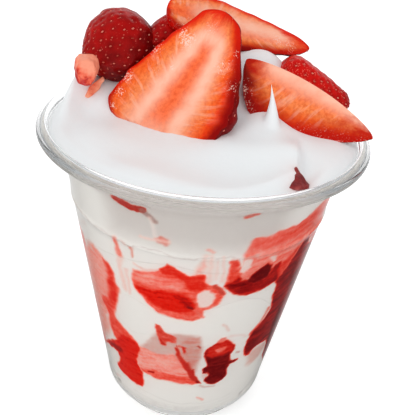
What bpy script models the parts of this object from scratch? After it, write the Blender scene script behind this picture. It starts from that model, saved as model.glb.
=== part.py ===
"""A clear cup of strawberries and cream, in metres, standing at the origin with +Z up.

The cup is a flared shell on a foot ring. Inside it cream and crushed strawberry alternate up to the
rim, and a whipped mound on top carries the halves, slices and pieces of strawberry.
"""

import math

import bmesh
import bpy
from mathutils import Matrix, Vector

# Cup
CUP_HEIGHT = 0.1028
RIM_RADIUS = 0.0494  # outside of the lip
WALL = 0.0007
FOOT_RADIUS = 0.0252
FOOT_WIDTH = 0.0016
FOOT_HEIGHT = 0.0046
FLOOR_HEIGHT = 0.0060  # inside face of the base, at the middle
TAPER_LOW = (0.0293, 0.0098)  # outside radius and height where the straight wall begins
TAPER_HIGH = (0.0419, 0.0938)  # outside radius and height where the flare begins
RING_HEIGHT = 0.0812  # stacking ring round the wall
RING_RELIEF = 0.0004
CUP_SEGMENTS = 48

# Filling
GAP = 0.0003  # free space between touching pieces
FILL_SEGMENTS = 44
TOP_RINGS = 11
CREAM_EDGE_HEIGHT = 0.1012  # where the top of the cream meets the flare

# Levels of the layers at the wall, each with swells as (angle from the front, rise, half width).
LOWER_SAUCE_FLOOR = (0.0235, ((-42, -0.0075, 12), (18, -0.0025, 14), (46, 0.0060, 12), (120, -0.005, 25),
                              (190, 0.004, 20), (-110, -0.006, 22)))
LOWER_SAUCE_TOP = (0.0430, ((-46, 0.0060, 12), (-12, 0.0055, 9), (22, 0.0010, 14), (50, 0.0040, 16),
                            (115, 0.005, 22), (185, -0.005, 25), (-120, 0.006, 20)))
UPPER_SAUCE_FLOOR = (0.0605, ((-50, -0.0090, 12), (-8, -0.0050, 14), (25, 0.0030, 14), (52, -0.0085, 12),
                              (110, 0.006, 25), (175, -0.006, 22), (-115, 0.004, 25)))
UPPER_SAUCE_TOP = (0.0745, ((-50, -0.0025, 16), (-8, 0.0025, 14), (46, 0.0130, 18), (100, 0.006, 25),
                            (165, 0.009, 22), (-125, -0.004, 25)))

# Pieces of strawberry that show through the wall: name, angle from the front in degrees, height, half
# width, half height, depth, where their outline starts and the layers they sit in, counted from the bottom.
WALL_PIECES = (
    ("strawberry_wall_dark", 19.0, 0.0345, 0.0044, 0.0098, 0.0060, 0.6, (1, 2)),
    ("strawberry_wall_pale", -5.0, 0.0372, 0.0064, 0.0082, 0.0050, 2.2, (1, 2)),
    ("strawberry_wall_upper", 29.0, 0.0735, 0.0046, 0.0040, 0.0040, 1.2, (3,)),
    ("strawberry_wall_sliver", -23.5, 0.0925, 0.0046, 0.0016, 0.0020, 0.0, (4,)),
)
WALL_PIECE_SIDES = 12
POCKET_REACH = 0.002  # how far a pocket runs out past the wall

# Whipped mound as heaps: middle in plan, height over the rim of the cream and spread
HEAPS = (
    (0.006, 0.015, 0.0180, 0.0240),
    (-0.026, 0.014, 0.0050, 0.0140),
    (0.0120, -0.0115, 0.0032, 0.0058),
)
SWIRL_RELIEF = 0.0008
FOLD_START = Vector((0.0215, -0.0100))  # crest of the fold that runs from the peak to the rim
FOLD_END = Vector((0.0270, -0.0400))
FOLD_RISE = 0.0034
FOLD_WIDTH = 0.0095
FOLD_DIP = 0.0016  # how far the cream dips just right of the fold
PEAK_FOOT = Vector((0.0232, -0.0110, 0.1050))
PEAK_TIP = Vector((0.0178, -0.0095, 0.1195))
PEAK_RADIUS = 0.0046

SEED_RELIEF = 0.00025
SEED_RING = 4
SEED_SPREAD = 0.0011
LOBES = 0.022
POCKET = GAP + SEED_RELIEF + 0.00030  # room round a strawberry in what it presses into
PLAIN_DENSITY = 11000  # points over the skin of the form that makes a pocket, per metre of half width
OUTLINE_STEPS = 22
SHARP_ANGLE = math.radians(48.0)


def clear_scene():
    for obj in list(bpy.data.objects):
        bpy.data.objects.remove(obj, do_unlink=True)


def material(name, color, roughness, transmission=0.0, ior=1.45):
    made = bpy.data.materials.new(name)
    made.use_nodes = True
    shader = made.node_tree.nodes["Principled BSDF"]
    shader.inputs["Base Color"].default_value = (*color, 1.0)
    shader.inputs["Roughness"].default_value = roughness
    shader.inputs["Metallic"].default_value = 0.0
    shader.inputs["Transmission Weight"].default_value = transmission
    shader.inputs["IOR"].default_value = ior
    made.diffuse_color = (*color, 0.35 if transmission else 1.0)
    return made


def shade(mesh):
    """Smooth all over, but sharp along the edges of cuts."""
    mesh.shade_smooth()
    mesh.set_sharp_from_angle(angle=SHARP_ANGLE)


def add_object(name, mesh_builder, slot):
    """Makes a smooth-shaded object from a bmesh and gives it its material."""
    bmesh.ops.recalc_face_normals(mesh_builder, faces=mesh_builder.faces)
    mesh = bpy.data.meshes.new(name)
    mesh_builder.to_mesh(mesh)
    mesh_builder.free()
    mesh.materials.append(slot)
    shade(mesh)
    obj = bpy.data.objects.new(name, mesh)
    bpy.context.scene.collection.objects.link(obj)
    return obj


def smoothstep(value):
    value = min(max(value, 0.0), 1.0)
    return value * value * (3.0 - 2.0 * value)


def lathe(rows, segments):
    """A closed surface of rings. Each row gives (radius, height) for an angle, and the ends are poles.

    Each quad is split from its outer ring to its inner one, so that two layers meet along equal facets.
    """
    made = bmesh.new()
    rings = []
    for index, row in enumerate(rows):
        if index in (0, len(rows) - 1):
            rings.append([made.verts.new((0.0, 0.0, row(0.0)[1]))])
            continue
        ring = []
        for step in range(segments):
            angle = 2.0 * math.pi * step / segments
            radius, height = row(angle)
            ring.append(made.verts.new((radius * math.sin(angle), -radius * math.cos(angle), height)))
        rings.append(ring)
    for low, high in zip(rings, rings[1:]):
        for step in range(segments):
            after = (step + 1) % segments
            if len(low) == 1:
                made.faces.new((low[0], high[after], high[step]))
            elif len(high) == 1:
                made.faces.new((low[step], low[after], high[0]))
            elif low[0].co.xy.length > high[0].co.xy.length:
                made.faces.new((low[step], low[after], high[after]))
                made.faces.new((low[step], high[after], high[step]))
            else:
                made.faces.new((low[step], low[after], high[step]))
                made.faces.new((low[after], high[after], high[step]))
    return made


def wall_radius(height):
    """Outside radius of the straight wall at a height."""
    low, high = TAPER_LOW, TAPER_HIGH
    return low[0] + (high[0] - low[0]) * (height - low[1]) / (high[1] - low[1])


def arc(middle, radius, start, end, steps):
    """Points of an arc in the (radius, height) plane, angles in degrees."""
    points = []
    for step in range(steps + 1):
        turn = math.radians(start + (end - start) * step / steps)
        points.append((middle[0] + radius * math.cos(turn), middle[1] + radius * math.sin(turn)))
    return points


def cup_outside():
    """The outside of the shell, from the middle of the base up to the top of the lip."""
    foot = FOOT_RADIUS
    recess = foot - FOOT_WIDTH
    points = [(0.0, FLOOR_HEIGHT - WALL), (recess - 0.0022, FLOOR_HEIGHT - WALL - 0.0004)]
    points += [(recess, FOOT_HEIGHT - 0.0030), (recess, 0.0), (foot, 0.0), (foot + 0.0004, 0.0005)]
    points += [(foot + 0.0004, FOOT_HEIGHT - 0.0008), (foot + 0.0012, FOOT_HEIGHT)]
    points += [(0.0280, 0.0052), (0.0289, 0.0066), TAPER_LOW]
    ring = RING_HEIGHT
    points += [(wall_radius(0.045), 0.045)]
    points += [(wall_radius(ring - 0.0012), ring - 0.0012), (wall_radius(ring) + RING_RELIEF, ring - 0.0004)]
    points += [(wall_radius(ring) + RING_RELIEF, ring + 0.0004), (wall_radius(ring + 0.0012), ring + 0.0012)]
    points += [TAPER_HIGH, (0.0424, 0.0955), (0.0429, 0.0964), (0.0434, 0.0982)]
    points += [(0.0443, 0.0994), (0.0458, 0.1002), (0.0474, 0.1006)]
    points += arc((RIM_RADIUS - 0.0011, CUP_HEIGHT - 0.0011), 0.0011, -60, 90, 4)
    return points


def cup_inside():
    """The inside of the shell, from the lip down to the middle of the floor."""
    points = [(0.0466, CUP_HEIGHT), (0.0459, CUP_HEIGHT - 0.0004), (0.0454, CUP_HEIGHT - 0.0013)]
    points += [(0.0440, 0.1004), (0.0430, 0.0992), (0.0426, 0.0975), (0.0418, 0.0955)]
    points += [(TAPER_HIGH[0] - WALL, TAPER_HIGH[1]), (wall_radius(0.045) - WALL, 0.045)]
    points += [(TAPER_LOW[0] - WALL, TAPER_LOW[1] + 0.0004), (0.0278, 0.0078), (0.0266, 0.0064)]
    points += [(0.0240, FLOOR_HEIGHT - 0.0002), (0.0, FLOOR_HEIGHT)]
    return points


def inside_radius(height):
    """Inside radius of the cup at a height, from the inside profile."""
    points = cup_inside()
    for high, low in zip(points, points[1:]):
        if low[1] <= height <= high[1] and high[1] > low[1]:
            share = (height - low[1]) / (high[1] - low[1])
            return low[0] + (high[0] - low[0]) * share
    return points[-2][0] if height < FLOOR_HEIGHT else points[0][0]


CREAM_EDGE = inside_radius(CREAM_EDGE_HEIGHT) - GAP


def make_cup(slot):
    profile = cup_outside() + cup_inside()
    rows = [lambda angle, point=point: point for point in profile]
    return add_object("cup", lathe(rows, CUP_SEGMENTS), slot)


def level_at(level, angle):
    """Height of a layer's edge at the wall."""
    height, swells = level
    degrees = math.degrees(angle)
    for middle, rise, width in swells:
        away = (degrees - middle + 180.0) % 360.0 - 180.0
        height += rise * math.exp(-((away / width) ** 2))
    return height


def level_rows(level, shift, shares):
    """Rings of a wavy level. The waves die out towards the middle of the cup."""
    rows = []
    for share in shares:
        def row(angle, share=share):
            mean = level[0] + shift
            height = mean + (level_at(level, angle) - level[0]) * share * share
            edge = level_at(level, angle) + shift
            return (inside_radius(edge) - GAP) * share, height
        rows.append(row)
    return rows


def side_rows(low, high, shares):
    """Rings up the wall between two levels."""
    rows = []
    for share in shares:
        def row(angle, share=share):
            bottom = level_at(low, angle) + GAP / 2
            top = level_at(high, angle) - GAP / 2
            height = bottom + (top - bottom) * share
            return inside_radius(height) - GAP, height
        rows.append(row)
    return rows


LAYER_SHARES = (0.0, 0.45, 0.8, 1.0)


def make_layer(name, low, high, slot):
    rows = level_rows(low, GAP / 2, LAYER_SHARES)
    rows += side_rows(low, high, (0.34, 0.67))
    rows += level_rows(high, -GAP / 2, LAYER_SHARES[::-1])
    return add_object(name, lathe(rows, FILL_SEGMENTS), slot)


def make_bottom_cream(slot):
    """The cream at the bottom, which fills the base of the cup."""
    floor = FLOOR_HEIGHT + GAP
    rows = [lambda angle, point=point: point for point in ((0.0, floor), (0.0235, floor), (0.0262, 0.0070))]
    for share in (0.0, 0.5):
        def row(angle, share=share):
            height = 0.0105 + (level_at(LOWER_SAUCE_FLOOR, angle) - GAP / 2 - 0.0105) * share
            return inside_radius(height) - GAP, height
        rows.append(row)
    rows += level_rows(LOWER_SAUCE_FLOOR, -GAP / 2, LAYER_SHARES[::-1])
    return add_object("cream_bottom", lathe(rows, FILL_SEGMENTS), slot)


def fold_height(x, y):
    """The fold: the cream rises from the left to a crest and drops steeply on its right side."""
    along = FOLD_END - FOLD_START
    away = Vector((x, y)) - FOLD_START
    share = away.dot(along) / along.length_squared
    across = (away.x * along.y - away.y * along.x) / along.length
    ends = smoothstep((share + 0.35) / 0.4) * smoothstep((1.15 - share) / 0.4)
    left = across < 0.0
    fade = math.exp(-((across / (FOLD_WIDTH if left else FOLD_WIDTH * 0.22)) ** 2))
    dip = FOLD_DIP * math.exp(-(((across - 0.0035) / 0.0032) ** 2))
    return ends * (FOLD_RISE * fade - dip)


def mound_height(x, y):
    """Top of the whipped cream at a point of the plan."""
    from_edge = CREAM_EDGE - math.hypot(x, y)
    mound = 0.0
    for middle_x, middle_y, height, spread in HEAPS:
        mound += height * math.exp(-((x - middle_x) ** 2 + (y - middle_y) ** 2) / spread**2)
    shoulder = 0.0016 * smoothstep(from_edge / 0.004)
    turn = math.atan2(y, x)
    swirl = SWIRL_RELIEF * math.sin(3.0 * turn + from_edge / 0.0042) * smoothstep(from_edge / 0.008)
    edge = smoothstep(from_edge / 0.006)
    return CREAM_EDGE_HEIGHT + shoulder + mound * edge + swirl + fold_height(x, y) * edge


def make_top_cream(slot):
    """The whipped top, from the upper strawberry layer to the mound."""
    rows = level_rows(UPPER_SAUCE_TOP, GAP / 2, LAYER_SHARES)
    for height in (TAPER_HIGH[1], 0.0955, 0.0975, 0.0992, 0.1004):
        def row(angle, height=height):
            return inside_radius(height) - GAP, height
        rows.append(row)
    for step in range(TOP_RINGS + 1):
        def row(angle, step=step):
            radius = CREAM_EDGE * (1.0 - step / TOP_RINGS) ** 0.85
            x, y = radius * math.sin(angle), -radius * math.cos(angle)
            return radius, mound_height(x, y)
        rows.append(row)
    return add_object("cream_top", lathe(rows, FILL_SEGMENTS), slot)


def make_peak(slot):
    """The drawn-out peak of the whipped cream, joined to the mound afterwards."""
    made = bmesh.new()
    sides, steps = 10, 6
    rings = []
    for step in range(steps + 1):
        share = step / steps
        radius = PEAK_RADIUS * (1.0 - share) ** 2.4 + 0.00025
        middle = PEAK_FOOT.lerp(PEAK_TIP, share)
        middle.x += 0.0016 * math.sin(math.pi * share)
        if step == 0:
            middle = middle - Vector((0.0, 0.0, 0.003))
        rings.append([])
        for side in range(sides):
            turn = 2.0 * math.pi * side / sides
            place = middle + Vector((radius * math.cos(turn), radius * math.sin(turn), 0.0))
            rings[-1].append(made.verts.new(place))
    for low, high in zip(rings, rings[1:]):
        for side in range(sides):
            after = (side + 1) % sides
            made.faces.new((low[side], low[after], high[after], high[side]))
    made.faces.new(rings[0][::-1])
    made.faces.new(rings[-1])
    bmesh.ops.triangulate(made, faces=made.faces)
    return add_object("cream_peak", made, slot)


def berry_width(share, shape):
    """Half width of a strawberry along its length, from 0 at the stem end to 1 at the tip."""
    shoulder, widest, tip, power, rounding = shape
    grow = (1.0 - (1.0 - min(share / widest, 1.0)) ** shoulder) ** (1.0 / shoulder)
    taper = 1.0 - (1.0 - tip) * (max(share - widest, 0.0) / (1.0 - widest)) ** power
    end = max(share - rounding, 0.0) / (1.0 - rounding)
    return grow * taper * math.sqrt(max(1.0 - end * end, 0.0))


class Berry:
    """A strawberry or a cut piece of one: where it lies, its size and how it is cut.

    stem and point are the ends of its axis and face is the way its cut face looks. width and depth are
    its half sizes along and behind that face. wedge is the angle in degrees that a slice spans behind
    its face: 360 for a whole berry, 180 for a half. lean bends it sideways, full makes it wider a
    little behind the face than at it, slope slants its stem end and crest bows a slice's ridge outward.
    """

    def __init__(self, name, stem, point, face, width, depth, wedge, seeds, shape,
                 lean=0.0, full=0.0, slope=0.0, crest=0.0):
        self.name = name
        self.stem, self.point = Vector(stem), Vector(point)
        self.axis = (self.point - self.stem).normalized()
        self.length = (self.point - self.stem).length
        front = Vector(face)
        self.front = (front - front.dot(self.axis) * self.axis).normalized()
        self.side = self.front.cross(self.axis)
        self.width, self.depth = width, depth
        self.wedge, self.seeds, self.shape = wedge, seeds, shape
        self.lean, self.full, self.slope, self.crest = lean, full, slope, crest

    def place(self, direction, lift):
        """The surface point for a direction of the unit sphere, lifted off the skin."""
        share = (1.0 - direction.z) / 2.0
        width = berry_width(share, self.shape)
        turn = math.atan2(direction.y, direction.x)
        radius = math.hypot(direction.x, direction.y)
        lobes = 1.0 + LOBES * (math.cos(3.0 * turn + 1.0 + 2.0 * share) + math.cos(5.0 * turn - 4.0 * share))
        full = 1.0 + 2.0 * self.full * abs(math.sin(turn))
        across = (self.width * width * lobes * full + lift * radius) * math.cos(turn)
        deep = (self.depth * width * lobes + lift * radius) * math.sin(turn)
        ends = self.length * share - lift * direction.z + self.slope * across * (1.0 - share)
        bend = self.lean * math.sin(math.pi * share)
        return self.stem + self.axis * ends + self.side * (across + bend) + self.front * deep

    def ridge(self, share):
        """A point of the edge between the two cut faces of a slice."""
        across = self.lean * math.sin(math.pi * share) + self.crest * math.sqrt(4.0 * share * (1.0 - share))
        return self.stem + self.axis * (self.length * share) + self.side * across

    def keeps(self, direction, margin):
        """Whether a direction of the unit sphere lies in the kept part, clear of its cut faces."""
        if self.wedge == 360:
            return True
        turn = self.second_turn()
        within = direction.x * math.sin(turn) - direction.y * math.cos(turn)
        return -direction.y > margin and within > margin

    def skin_points(self, seeded):
        """Unit directions over the kept skin with their lift: each seed is raised in a dimple."""
        count = self.seeds if seeded else int(PLAIN_DENSITY * max(self.width, self.depth))
        spread = SEED_SPREAD / max(self.width, self.depth)
        for index in range(count):
            z = 1.0 - 2.0 * (index + 0.5) / count
            radius = math.sqrt(1.0 - z * z)
            turn = index * math.pi * (3.0 - math.sqrt(5.0))
            middle = Vector((radius * math.cos(turn), radius * math.sin(turn), z))
            if not self.keeps(middle, 1.7 * spread if seeded else 0.08):
                continue
            if not seeded:
                yield middle, 0.0
                continue
            yield middle, SEED_RELIEF
            beside = middle.cross(Vector((0.3, 0.2, 1.0))).normalized()
            other = middle.cross(beside)
            for step in range(SEED_RING):
                way = 2.0 * math.pi * step / SEED_RING
                near = middle + spread * (beside * math.cos(way) + other * math.sin(way))
                yield near.normalized(), -SEED_RELIEF

    def second_turn(self):
        """Angle round the axis of the outline of a slice's second cut face."""
        return math.radians(self.wedge) - math.pi

    def cuts(self):
        """The angle round the axis of each cut face's outline, with the way that the face looks."""
        if self.wedge == 360:
            return {}
        turn = self.second_turn()
        return {math.pi: self.front, turn: self.front * math.cos(turn) - self.side * math.sin(turn)}

    def solid(self, grow=0.0, seeded=True):
        """The kept part as a closed bmesh. grow enlarges it all round, for a pocket that clears it."""
        made = bmesh.new()
        lifts = {}
        for direction, lift in self.skin_points(seeded):
            lifts[made.verts.new(direction)] = lift
        poles = [made.verts.new((0.0, 0.0, 1.0)), made.verts.new((0.0, 0.0, -1.0))]
        polars = [math.pi * step / OUTLINE_STEPS for step in range(1, OUTLINE_STEPS)]
        cuts = self.cuts()
        outward = {pole: list(cuts.values()) for pole in poles}
        outlines = []
        for turn, way in cuts.items():
            beside = Vector((math.cos(turn), math.sin(turn), 0.0))
            outline = [made.verts.new(beside * math.sin(polar) + Vector((0.0, 0.0, math.cos(polar))))
                       for polar in polars]
            outward.update((vertex, [way]) for vertex in outline)
            outlines.append(poles[:1] + outline + poles[1:])
        bmesh.ops.convex_hull(made, input=made.verts)
        ridge = []
        if self.wedge == 180:
            flat = [face for face in made.faces if all(vertex in outward for vertex in face.verts)]
            bmesh.ops.dissolve_faces(made, faces=flat)
        elif self.wedge < 180:
            ridge = [made.verts.new((0.0, 0.0, math.cos(polar))) for polar in polars]
            self.face_to_ridge(made, outlines, poles[:1] + ridge + poles[1:])
            outward.update((vertex, list(cuts.values())) for vertex in ridge)
        for vertex in made.verts:
            if vertex in ridge:
                vertex.co = self.ridge((1.0 - vertex.co.z) / 2.0)
            else:
                vertex.co = self.place(vertex.co.copy(), lifts.get(vertex, 0.0) + grow)
            ways = outward.get(vertex)
            if ways:
                both = sum(ways, Vector())
                vertex.co += both * grow / both.dot(ways[0])
        bmesh.ops.triangulate(made, faces=made.faces, quad_method="FIXED")
        bmesh.ops.recalc_face_normals(made, faces=made.faces)
        return made

    def face_to_ridge(self, made, outlines, ridge):
        """Replaces the cut faces of a slice's hull with strips that run from each outline to the ridge."""
        for outline in outlines:
            flat = [face for face in made.faces if all(vertex in outline for vertex in face.verts)]
            bmesh.ops.delete(made, geom=flat, context="FACES")
            for index in range(len(ridge) - 1):
                corners = [ridge[index], ridge[index + 1], outline[index + 1], outline[index]]
                made.faces.new(list(dict.fromkeys(corners)))


# Width of each kind of strawberry along its length: roundness of the shoulder, place of the widest
# point, width at the tip, straightness of the taper and where the tip begins to round off.
BLUNT = (2.6, 0.21, 0.20, 1.35, 0.90)
ROUND = (2.0, 0.42, 0.45, 1.50, 0.62)
CONE = (2.2, 0.36, 0.32, 1.40, 0.84)
LONG = (2.2, 0.30, 0.06, 1.50, 0.93)
SLANT = (2.2, 0.30, 0.30, 1.50, 0.86)

# Cut pieces without a clear stem end or tip, as lumps: middle, half sizes, turn about Z in degrees, tilt
# and where in the run of the noise their facets come from.
CHUNK = ("strawberry_chunk", (-0.0352, 0.0050, 0.1142), (0.0042, 0.0040, 0.0058), 20, 12, 0.0)
FLAKE = ("strawberry_flake", (-0.0336, 0.0016, 0.1084), (0.0040, 0.0022, 0.0030), -35, 25, 2.0)
RIM_PIECE = ("strawberry_rim_piece", (0.0240, -0.0301, 0.1008), (0.0029, 0.0030, 0.0046), 25, 14, 4.0)
LUMPS = (CHUNK, FLAKE, RIM_PIECE)
LUMP_POINTS = 34
LUMP_ROUGHNESS = 0.16

FRONT_HALF = Berry("strawberry_front_half", (-0.0159, -0.0129, 0.1022), (0.0023, 0.0022, 0.1346),
                   (-0.39, -0.74, 0.56), 0.0188, 0.0100, 180, 110, BLUNT, full=0.13, slope=-0.12)
RIGHT_SLICE = Berry("strawberry_right_slice", (0.0090, -0.0024, 0.1238), (0.0482, -0.0090, 0.1060),
                    (-0.20, -0.80, 0.50), 0.0150, 0.0105, 70, 150, LONG, lean=0.0010, slope=-0.30, crest=0.0044)
TOP_SLICE = Berry("strawberry_top_slice", (-0.0142, 0.0135, 0.1318), (0.0308, 0.0222, 0.1213),
                  (-0.05, -0.62, 0.78), 0.0082, 0.0075, 180, 76, SLANT)
LEFT = Berry("strawberry_left", (-0.0200, 0.0190, 0.1225), (-0.0370, 0.0040, 0.1165), (-0.2, -0.9, 0.5),
             0.0120, 0.0120, 360, 100, ROUND)
BACK_LEFT = Berry("strawberry_back_left", (-0.0075, 0.0270, 0.1190), (-0.0185, 0.0090, 0.1225),
                  (0.0, 0.0, 1.0), 0.0080, 0.0080, 360, 44, ROUND)
RIGHT_BACK = Berry("strawberry_right_back", (0.0205, 0.0130, 0.1150), (0.0448, 0.0125, 0.1068),
                   (-0.1, -0.5, 0.8), 0.0086, 0.0080, 360, 60, CONE)
BERRIES = (FRONT_HALF, RIGHT_SLICE, TOP_SLICE, LEFT, BACK_LEFT, RIGHT_BACK)


def lump(size, turn, tilt, phase, middle, grow=0.0):
    """A torn piece of strawberry: a rounded block with uneven facets."""
    made = bmesh.new()
    way = Matrix.Rotation(math.radians(turn), 3, "Z") @ Matrix.Rotation(math.radians(tilt), 3, "Y")
    for index in range(LUMP_POINTS):
        z = 1.0 - 2.0 * (index + 0.5) / LUMP_POINTS
        radius = math.sqrt(1.0 - z * z)
        angle = index * math.pi * (3.0 - math.sqrt(5.0))
        direction = Vector((radius * math.cos(angle), radius * math.sin(angle), z))
        uneven = 1.0 + LUMP_ROUGHNESS * math.sin(3.7 * direction.x + 5.1 * direction.z + 2.3 * phase)
        uneven *= 1.0 + LUMP_ROUGHNESS * math.cos(4.3 * direction.y - 3.1 * direction.z + phase)
        place = Vector([(half * uneven + grow) * part for half, part in zip(size, direction)])
        made.verts.new(Vector(middle) + way @ place)
    bmesh.ops.convex_hull(made, input=made.verts)
    inside = [vertex for vertex in made.verts if not vertex.link_faces]
    bmesh.ops.delete(made, geom=inside, context="VERTS")
    return made


def apply_boolean(target, tool, operation):
    """Applies one Boolean to the target's mesh and removes the tool."""
    modifier = target.modifiers.new("Boolean", "BOOLEAN")
    modifier.operation = operation
    modifier.solver = "MANIFOLD"
    modifier.object = tool
    bpy.context.view_layer.update()
    graph = bpy.context.evaluated_depsgraph_get()
    mesh = bpy.data.meshes.new_from_object(target.evaluated_get(graph))
    target.modifiers.clear()
    target.data = mesh
    bpy.data.objects.remove(tool, do_unlink=True)
    keep_largest(target)


def keep_largest(target):
    """Drops the loose scraps that a cut leaves and keeps the main body."""
    made = bmesh.new()
    made.from_mesh(target.data)
    bmesh.ops.triangulate(made, faces=made.faces)
    left = set(made.faces)
    bodies = []
    while left:
        start = left.pop()
        body, waiting = {start}, [start]
        while waiting:
            for edge in waiting.pop().edges:
                for face in edge.link_faces:
                    if face in left:
                        left.remove(face)
                        body.add(face)
                        waiting.append(face)
        bodies.append(body)
    largest = max(bodies, key=lambda body: abs(sum(
        face.verts[0].co.dot(face.verts[1].co.cross(face.verts[2].co)) for face in body)))
    scraps = [face for body in bodies if body is not largest for face in body]
    bmesh.ops.delete(made, geom=scraps, context="FACES")
    made.to_mesh(target.data)
    made.free()
    shade(target.data)


def near_each_other(berry, other, middle=None, reach=None):
    """Whether two pieces can touch, from spheres round them."""
    own = berry.stem.lerp(berry.point, 0.5)
    if other is not None:
        middle = other.stem.lerp(other.point, 0.5)
        reach = max(other.length / 2, other.width)
    return (own - middle).length < max(berry.length / 2, berry.width) + reach


def wall_piece(spec, grow=0.0):
    """A piece of strawberry pressed against the inside of the wall. grow makes it the form of a pocket."""
    _, turn, height, half_width, half_height, depth, phase, _ = spec
    beyond = POCKET_REACH if grow else 0.0
    # Each ring is a share of the outline and how far it lies behind the wall.
    profile = [(0.0, -beyond), (0.5, -beyond), (1.0, -beyond)]
    if grow:
        profile.append((1.0, grow))
    profile += [(0.5, 0.85 * depth + grow), (0.0, depth + grow)]
    made = bmesh.new()
    rings = []
    for share, behind in profile:
        ring = []
        for step in range(WALL_PIECE_SIDES if share else 1):
            way = 2.0 * math.pi * step / WALL_PIECE_SIDES
            uneven = 1.0 + 0.12 * math.sin(3.0 * way + phase) + 0.07 * math.cos(5.0 * way - phase)
            across = (half_width * uneven + grow) * share * math.cos(way)
            up = height + (half_height * uneven + grow) * share * math.sin(way)
            radius = inside_radius(up) - GAP - behind
            angle = math.radians(turn) + across / inside_radius(height)
            ring.append(made.verts.new((radius * math.sin(angle), -radius * math.cos(angle), up)))
        rings.append(ring)
    for near, far in zip(rings, rings[1:]):
        for step in range(WALL_PIECE_SIDES):
            after = (step + 1) % WALL_PIECE_SIDES
            if len(near) == 1:
                made.faces.new((near[0], far[step], far[after]))
            elif len(far) == 1:
                made.faces.new((near[step], far[0], near[after]))
            else:
                made.faces.new((near[step], far[step], far[after], near[after]))
    bmesh.ops.triangulate(made, faces=made.faces)
    bmesh.ops.recalc_face_normals(made, faces=made.faces)
    return made


def cut_pocket(target, form, slot):
    """Cuts room for a piece out of the target, where form is that piece grown by the gap."""
    apply_boolean(target, add_object("pocket", form, slot), "DIFFERENCE")


def main():
    clear_scene()
    clear = material("clear_plastic", (0.93, 0.95, 0.96), 0.05, 1.0, 1.5)
    cream = material("whipped_cream", (0.90, 0.89, 0.87), 0.45)
    sauce = material("crushed_strawberry", (0.62, 0.06, 0.04), 0.25)
    skin = material("strawberry_skin", (0.42, 0.012, 0.008), 0.22)
    flesh = material("strawberry_flesh", (0.83, 0.20, 0.09), 0.30)
    pale = material("pale_strawberry", (0.80, 0.36, 0.28), 0.35)
    dark = material("dark_strawberry", (0.22, 0.010, 0.012), 0.30)
    piece_slots = {"strawberry_wall_dark": dark, "strawberry_wall_pale": pale, "strawberry_wall_sliver": dark,
                   "strawberry_wall_upper": skin, "strawberry_chunk": pale, "strawberry_flake": flesh,
                   "strawberry_rim_piece": dark}

    make_cup(clear)
    layers = [
        make_bottom_cream(cream),
        make_layer("strawberry_layer_lower", LOWER_SAUCE_FLOOR, LOWER_SAUCE_TOP, sauce),
        make_layer("cream_middle", LOWER_SAUCE_TOP, UPPER_SAUCE_FLOOR, cream),
        make_layer("strawberry_layer_upper", UPPER_SAUCE_FLOOR, UPPER_SAUCE_TOP, sauce),
        make_top_cream(cream),
    ]
    top = layers[-1]
    apply_boolean(top, make_peak(cream), "UNION")

    for spec in WALL_PIECES:
        add_object(spec[0], wall_piece(spec), piece_slots[spec[0]])
        for index in spec[-1]:
            cut_pocket(layers[index], wall_piece(spec, GAP), cream)

    placed = []
    for berry in BERRIES:
        piece = add_object(berry.name, berry.solid(), skin if berry.wedge == 360 else flesh)
        for other in placed:
            if near_each_other(berry, other):
                cut_pocket(piece, other.solid(POCKET, False), cream)
        cut_pocket(top, berry.solid(POCKET, False), cream)
        placed.append(berry)
    lumps = []
    for name, middle, size, turn, tilt, phase in LUMPS:
        piece = add_object(name, lump(size, turn, tilt, phase, middle), piece_slots[name])
        for other in placed:
            if near_each_other(other, None, Vector(middle), max(size)):
                cut_pocket(piece, other.solid(POCKET, False), cream)
        for form in lumps:
            cut_pocket(piece, lump(*form, GAP), cream)
        cut_pocket(top, lump(size, turn, tilt, phase, middle, GAP), cream)
        lumps.append((size, turn, tilt, phase, middle))


main()
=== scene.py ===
"""A clear cup of strawberries and cream: the looks of every piece, on a pale studio floor.

Places and sizes are in metres, with +Z up and the side that is seen first towards -Y. Angles round the
cup are in degrees from the front, and grow to the right of that view.
"""

import itertools
import math

import bmesh
import bpy
import numpy as np
from bpy.props import FloatProperty, FloatVectorProperty, IntProperty, PointerProperty
from mathutils import Matrix, Vector
from mathutils.bvhtree import BVHTree


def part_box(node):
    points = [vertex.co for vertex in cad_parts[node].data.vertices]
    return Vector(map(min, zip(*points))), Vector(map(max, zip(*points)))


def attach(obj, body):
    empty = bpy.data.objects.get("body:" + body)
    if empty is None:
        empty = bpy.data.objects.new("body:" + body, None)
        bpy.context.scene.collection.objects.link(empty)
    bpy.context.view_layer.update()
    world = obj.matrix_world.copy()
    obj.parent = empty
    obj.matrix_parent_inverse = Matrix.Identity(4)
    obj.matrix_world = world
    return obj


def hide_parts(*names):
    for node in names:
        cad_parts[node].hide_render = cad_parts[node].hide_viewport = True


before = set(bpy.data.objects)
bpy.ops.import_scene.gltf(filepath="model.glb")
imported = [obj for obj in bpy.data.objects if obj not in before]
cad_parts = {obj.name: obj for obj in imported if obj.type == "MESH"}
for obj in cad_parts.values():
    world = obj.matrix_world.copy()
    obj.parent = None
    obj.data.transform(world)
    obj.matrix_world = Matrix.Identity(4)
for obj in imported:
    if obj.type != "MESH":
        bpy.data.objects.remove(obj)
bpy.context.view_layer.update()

bl_info = {
    "name": "Cup of strawberries and cream",
    "version": (1, 0, 0),
    "blender": (4, 5, 0),
    "location": "3D View > Sidebar > Strawberry cup",
    "description": "Makes a clear cup filled with cream and crushed strawberry, with fruit on top",
    "category": "Object",
}

ROOT = "root"
MM = 0.001

# ------ Sizes that the pieces share ------

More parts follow.
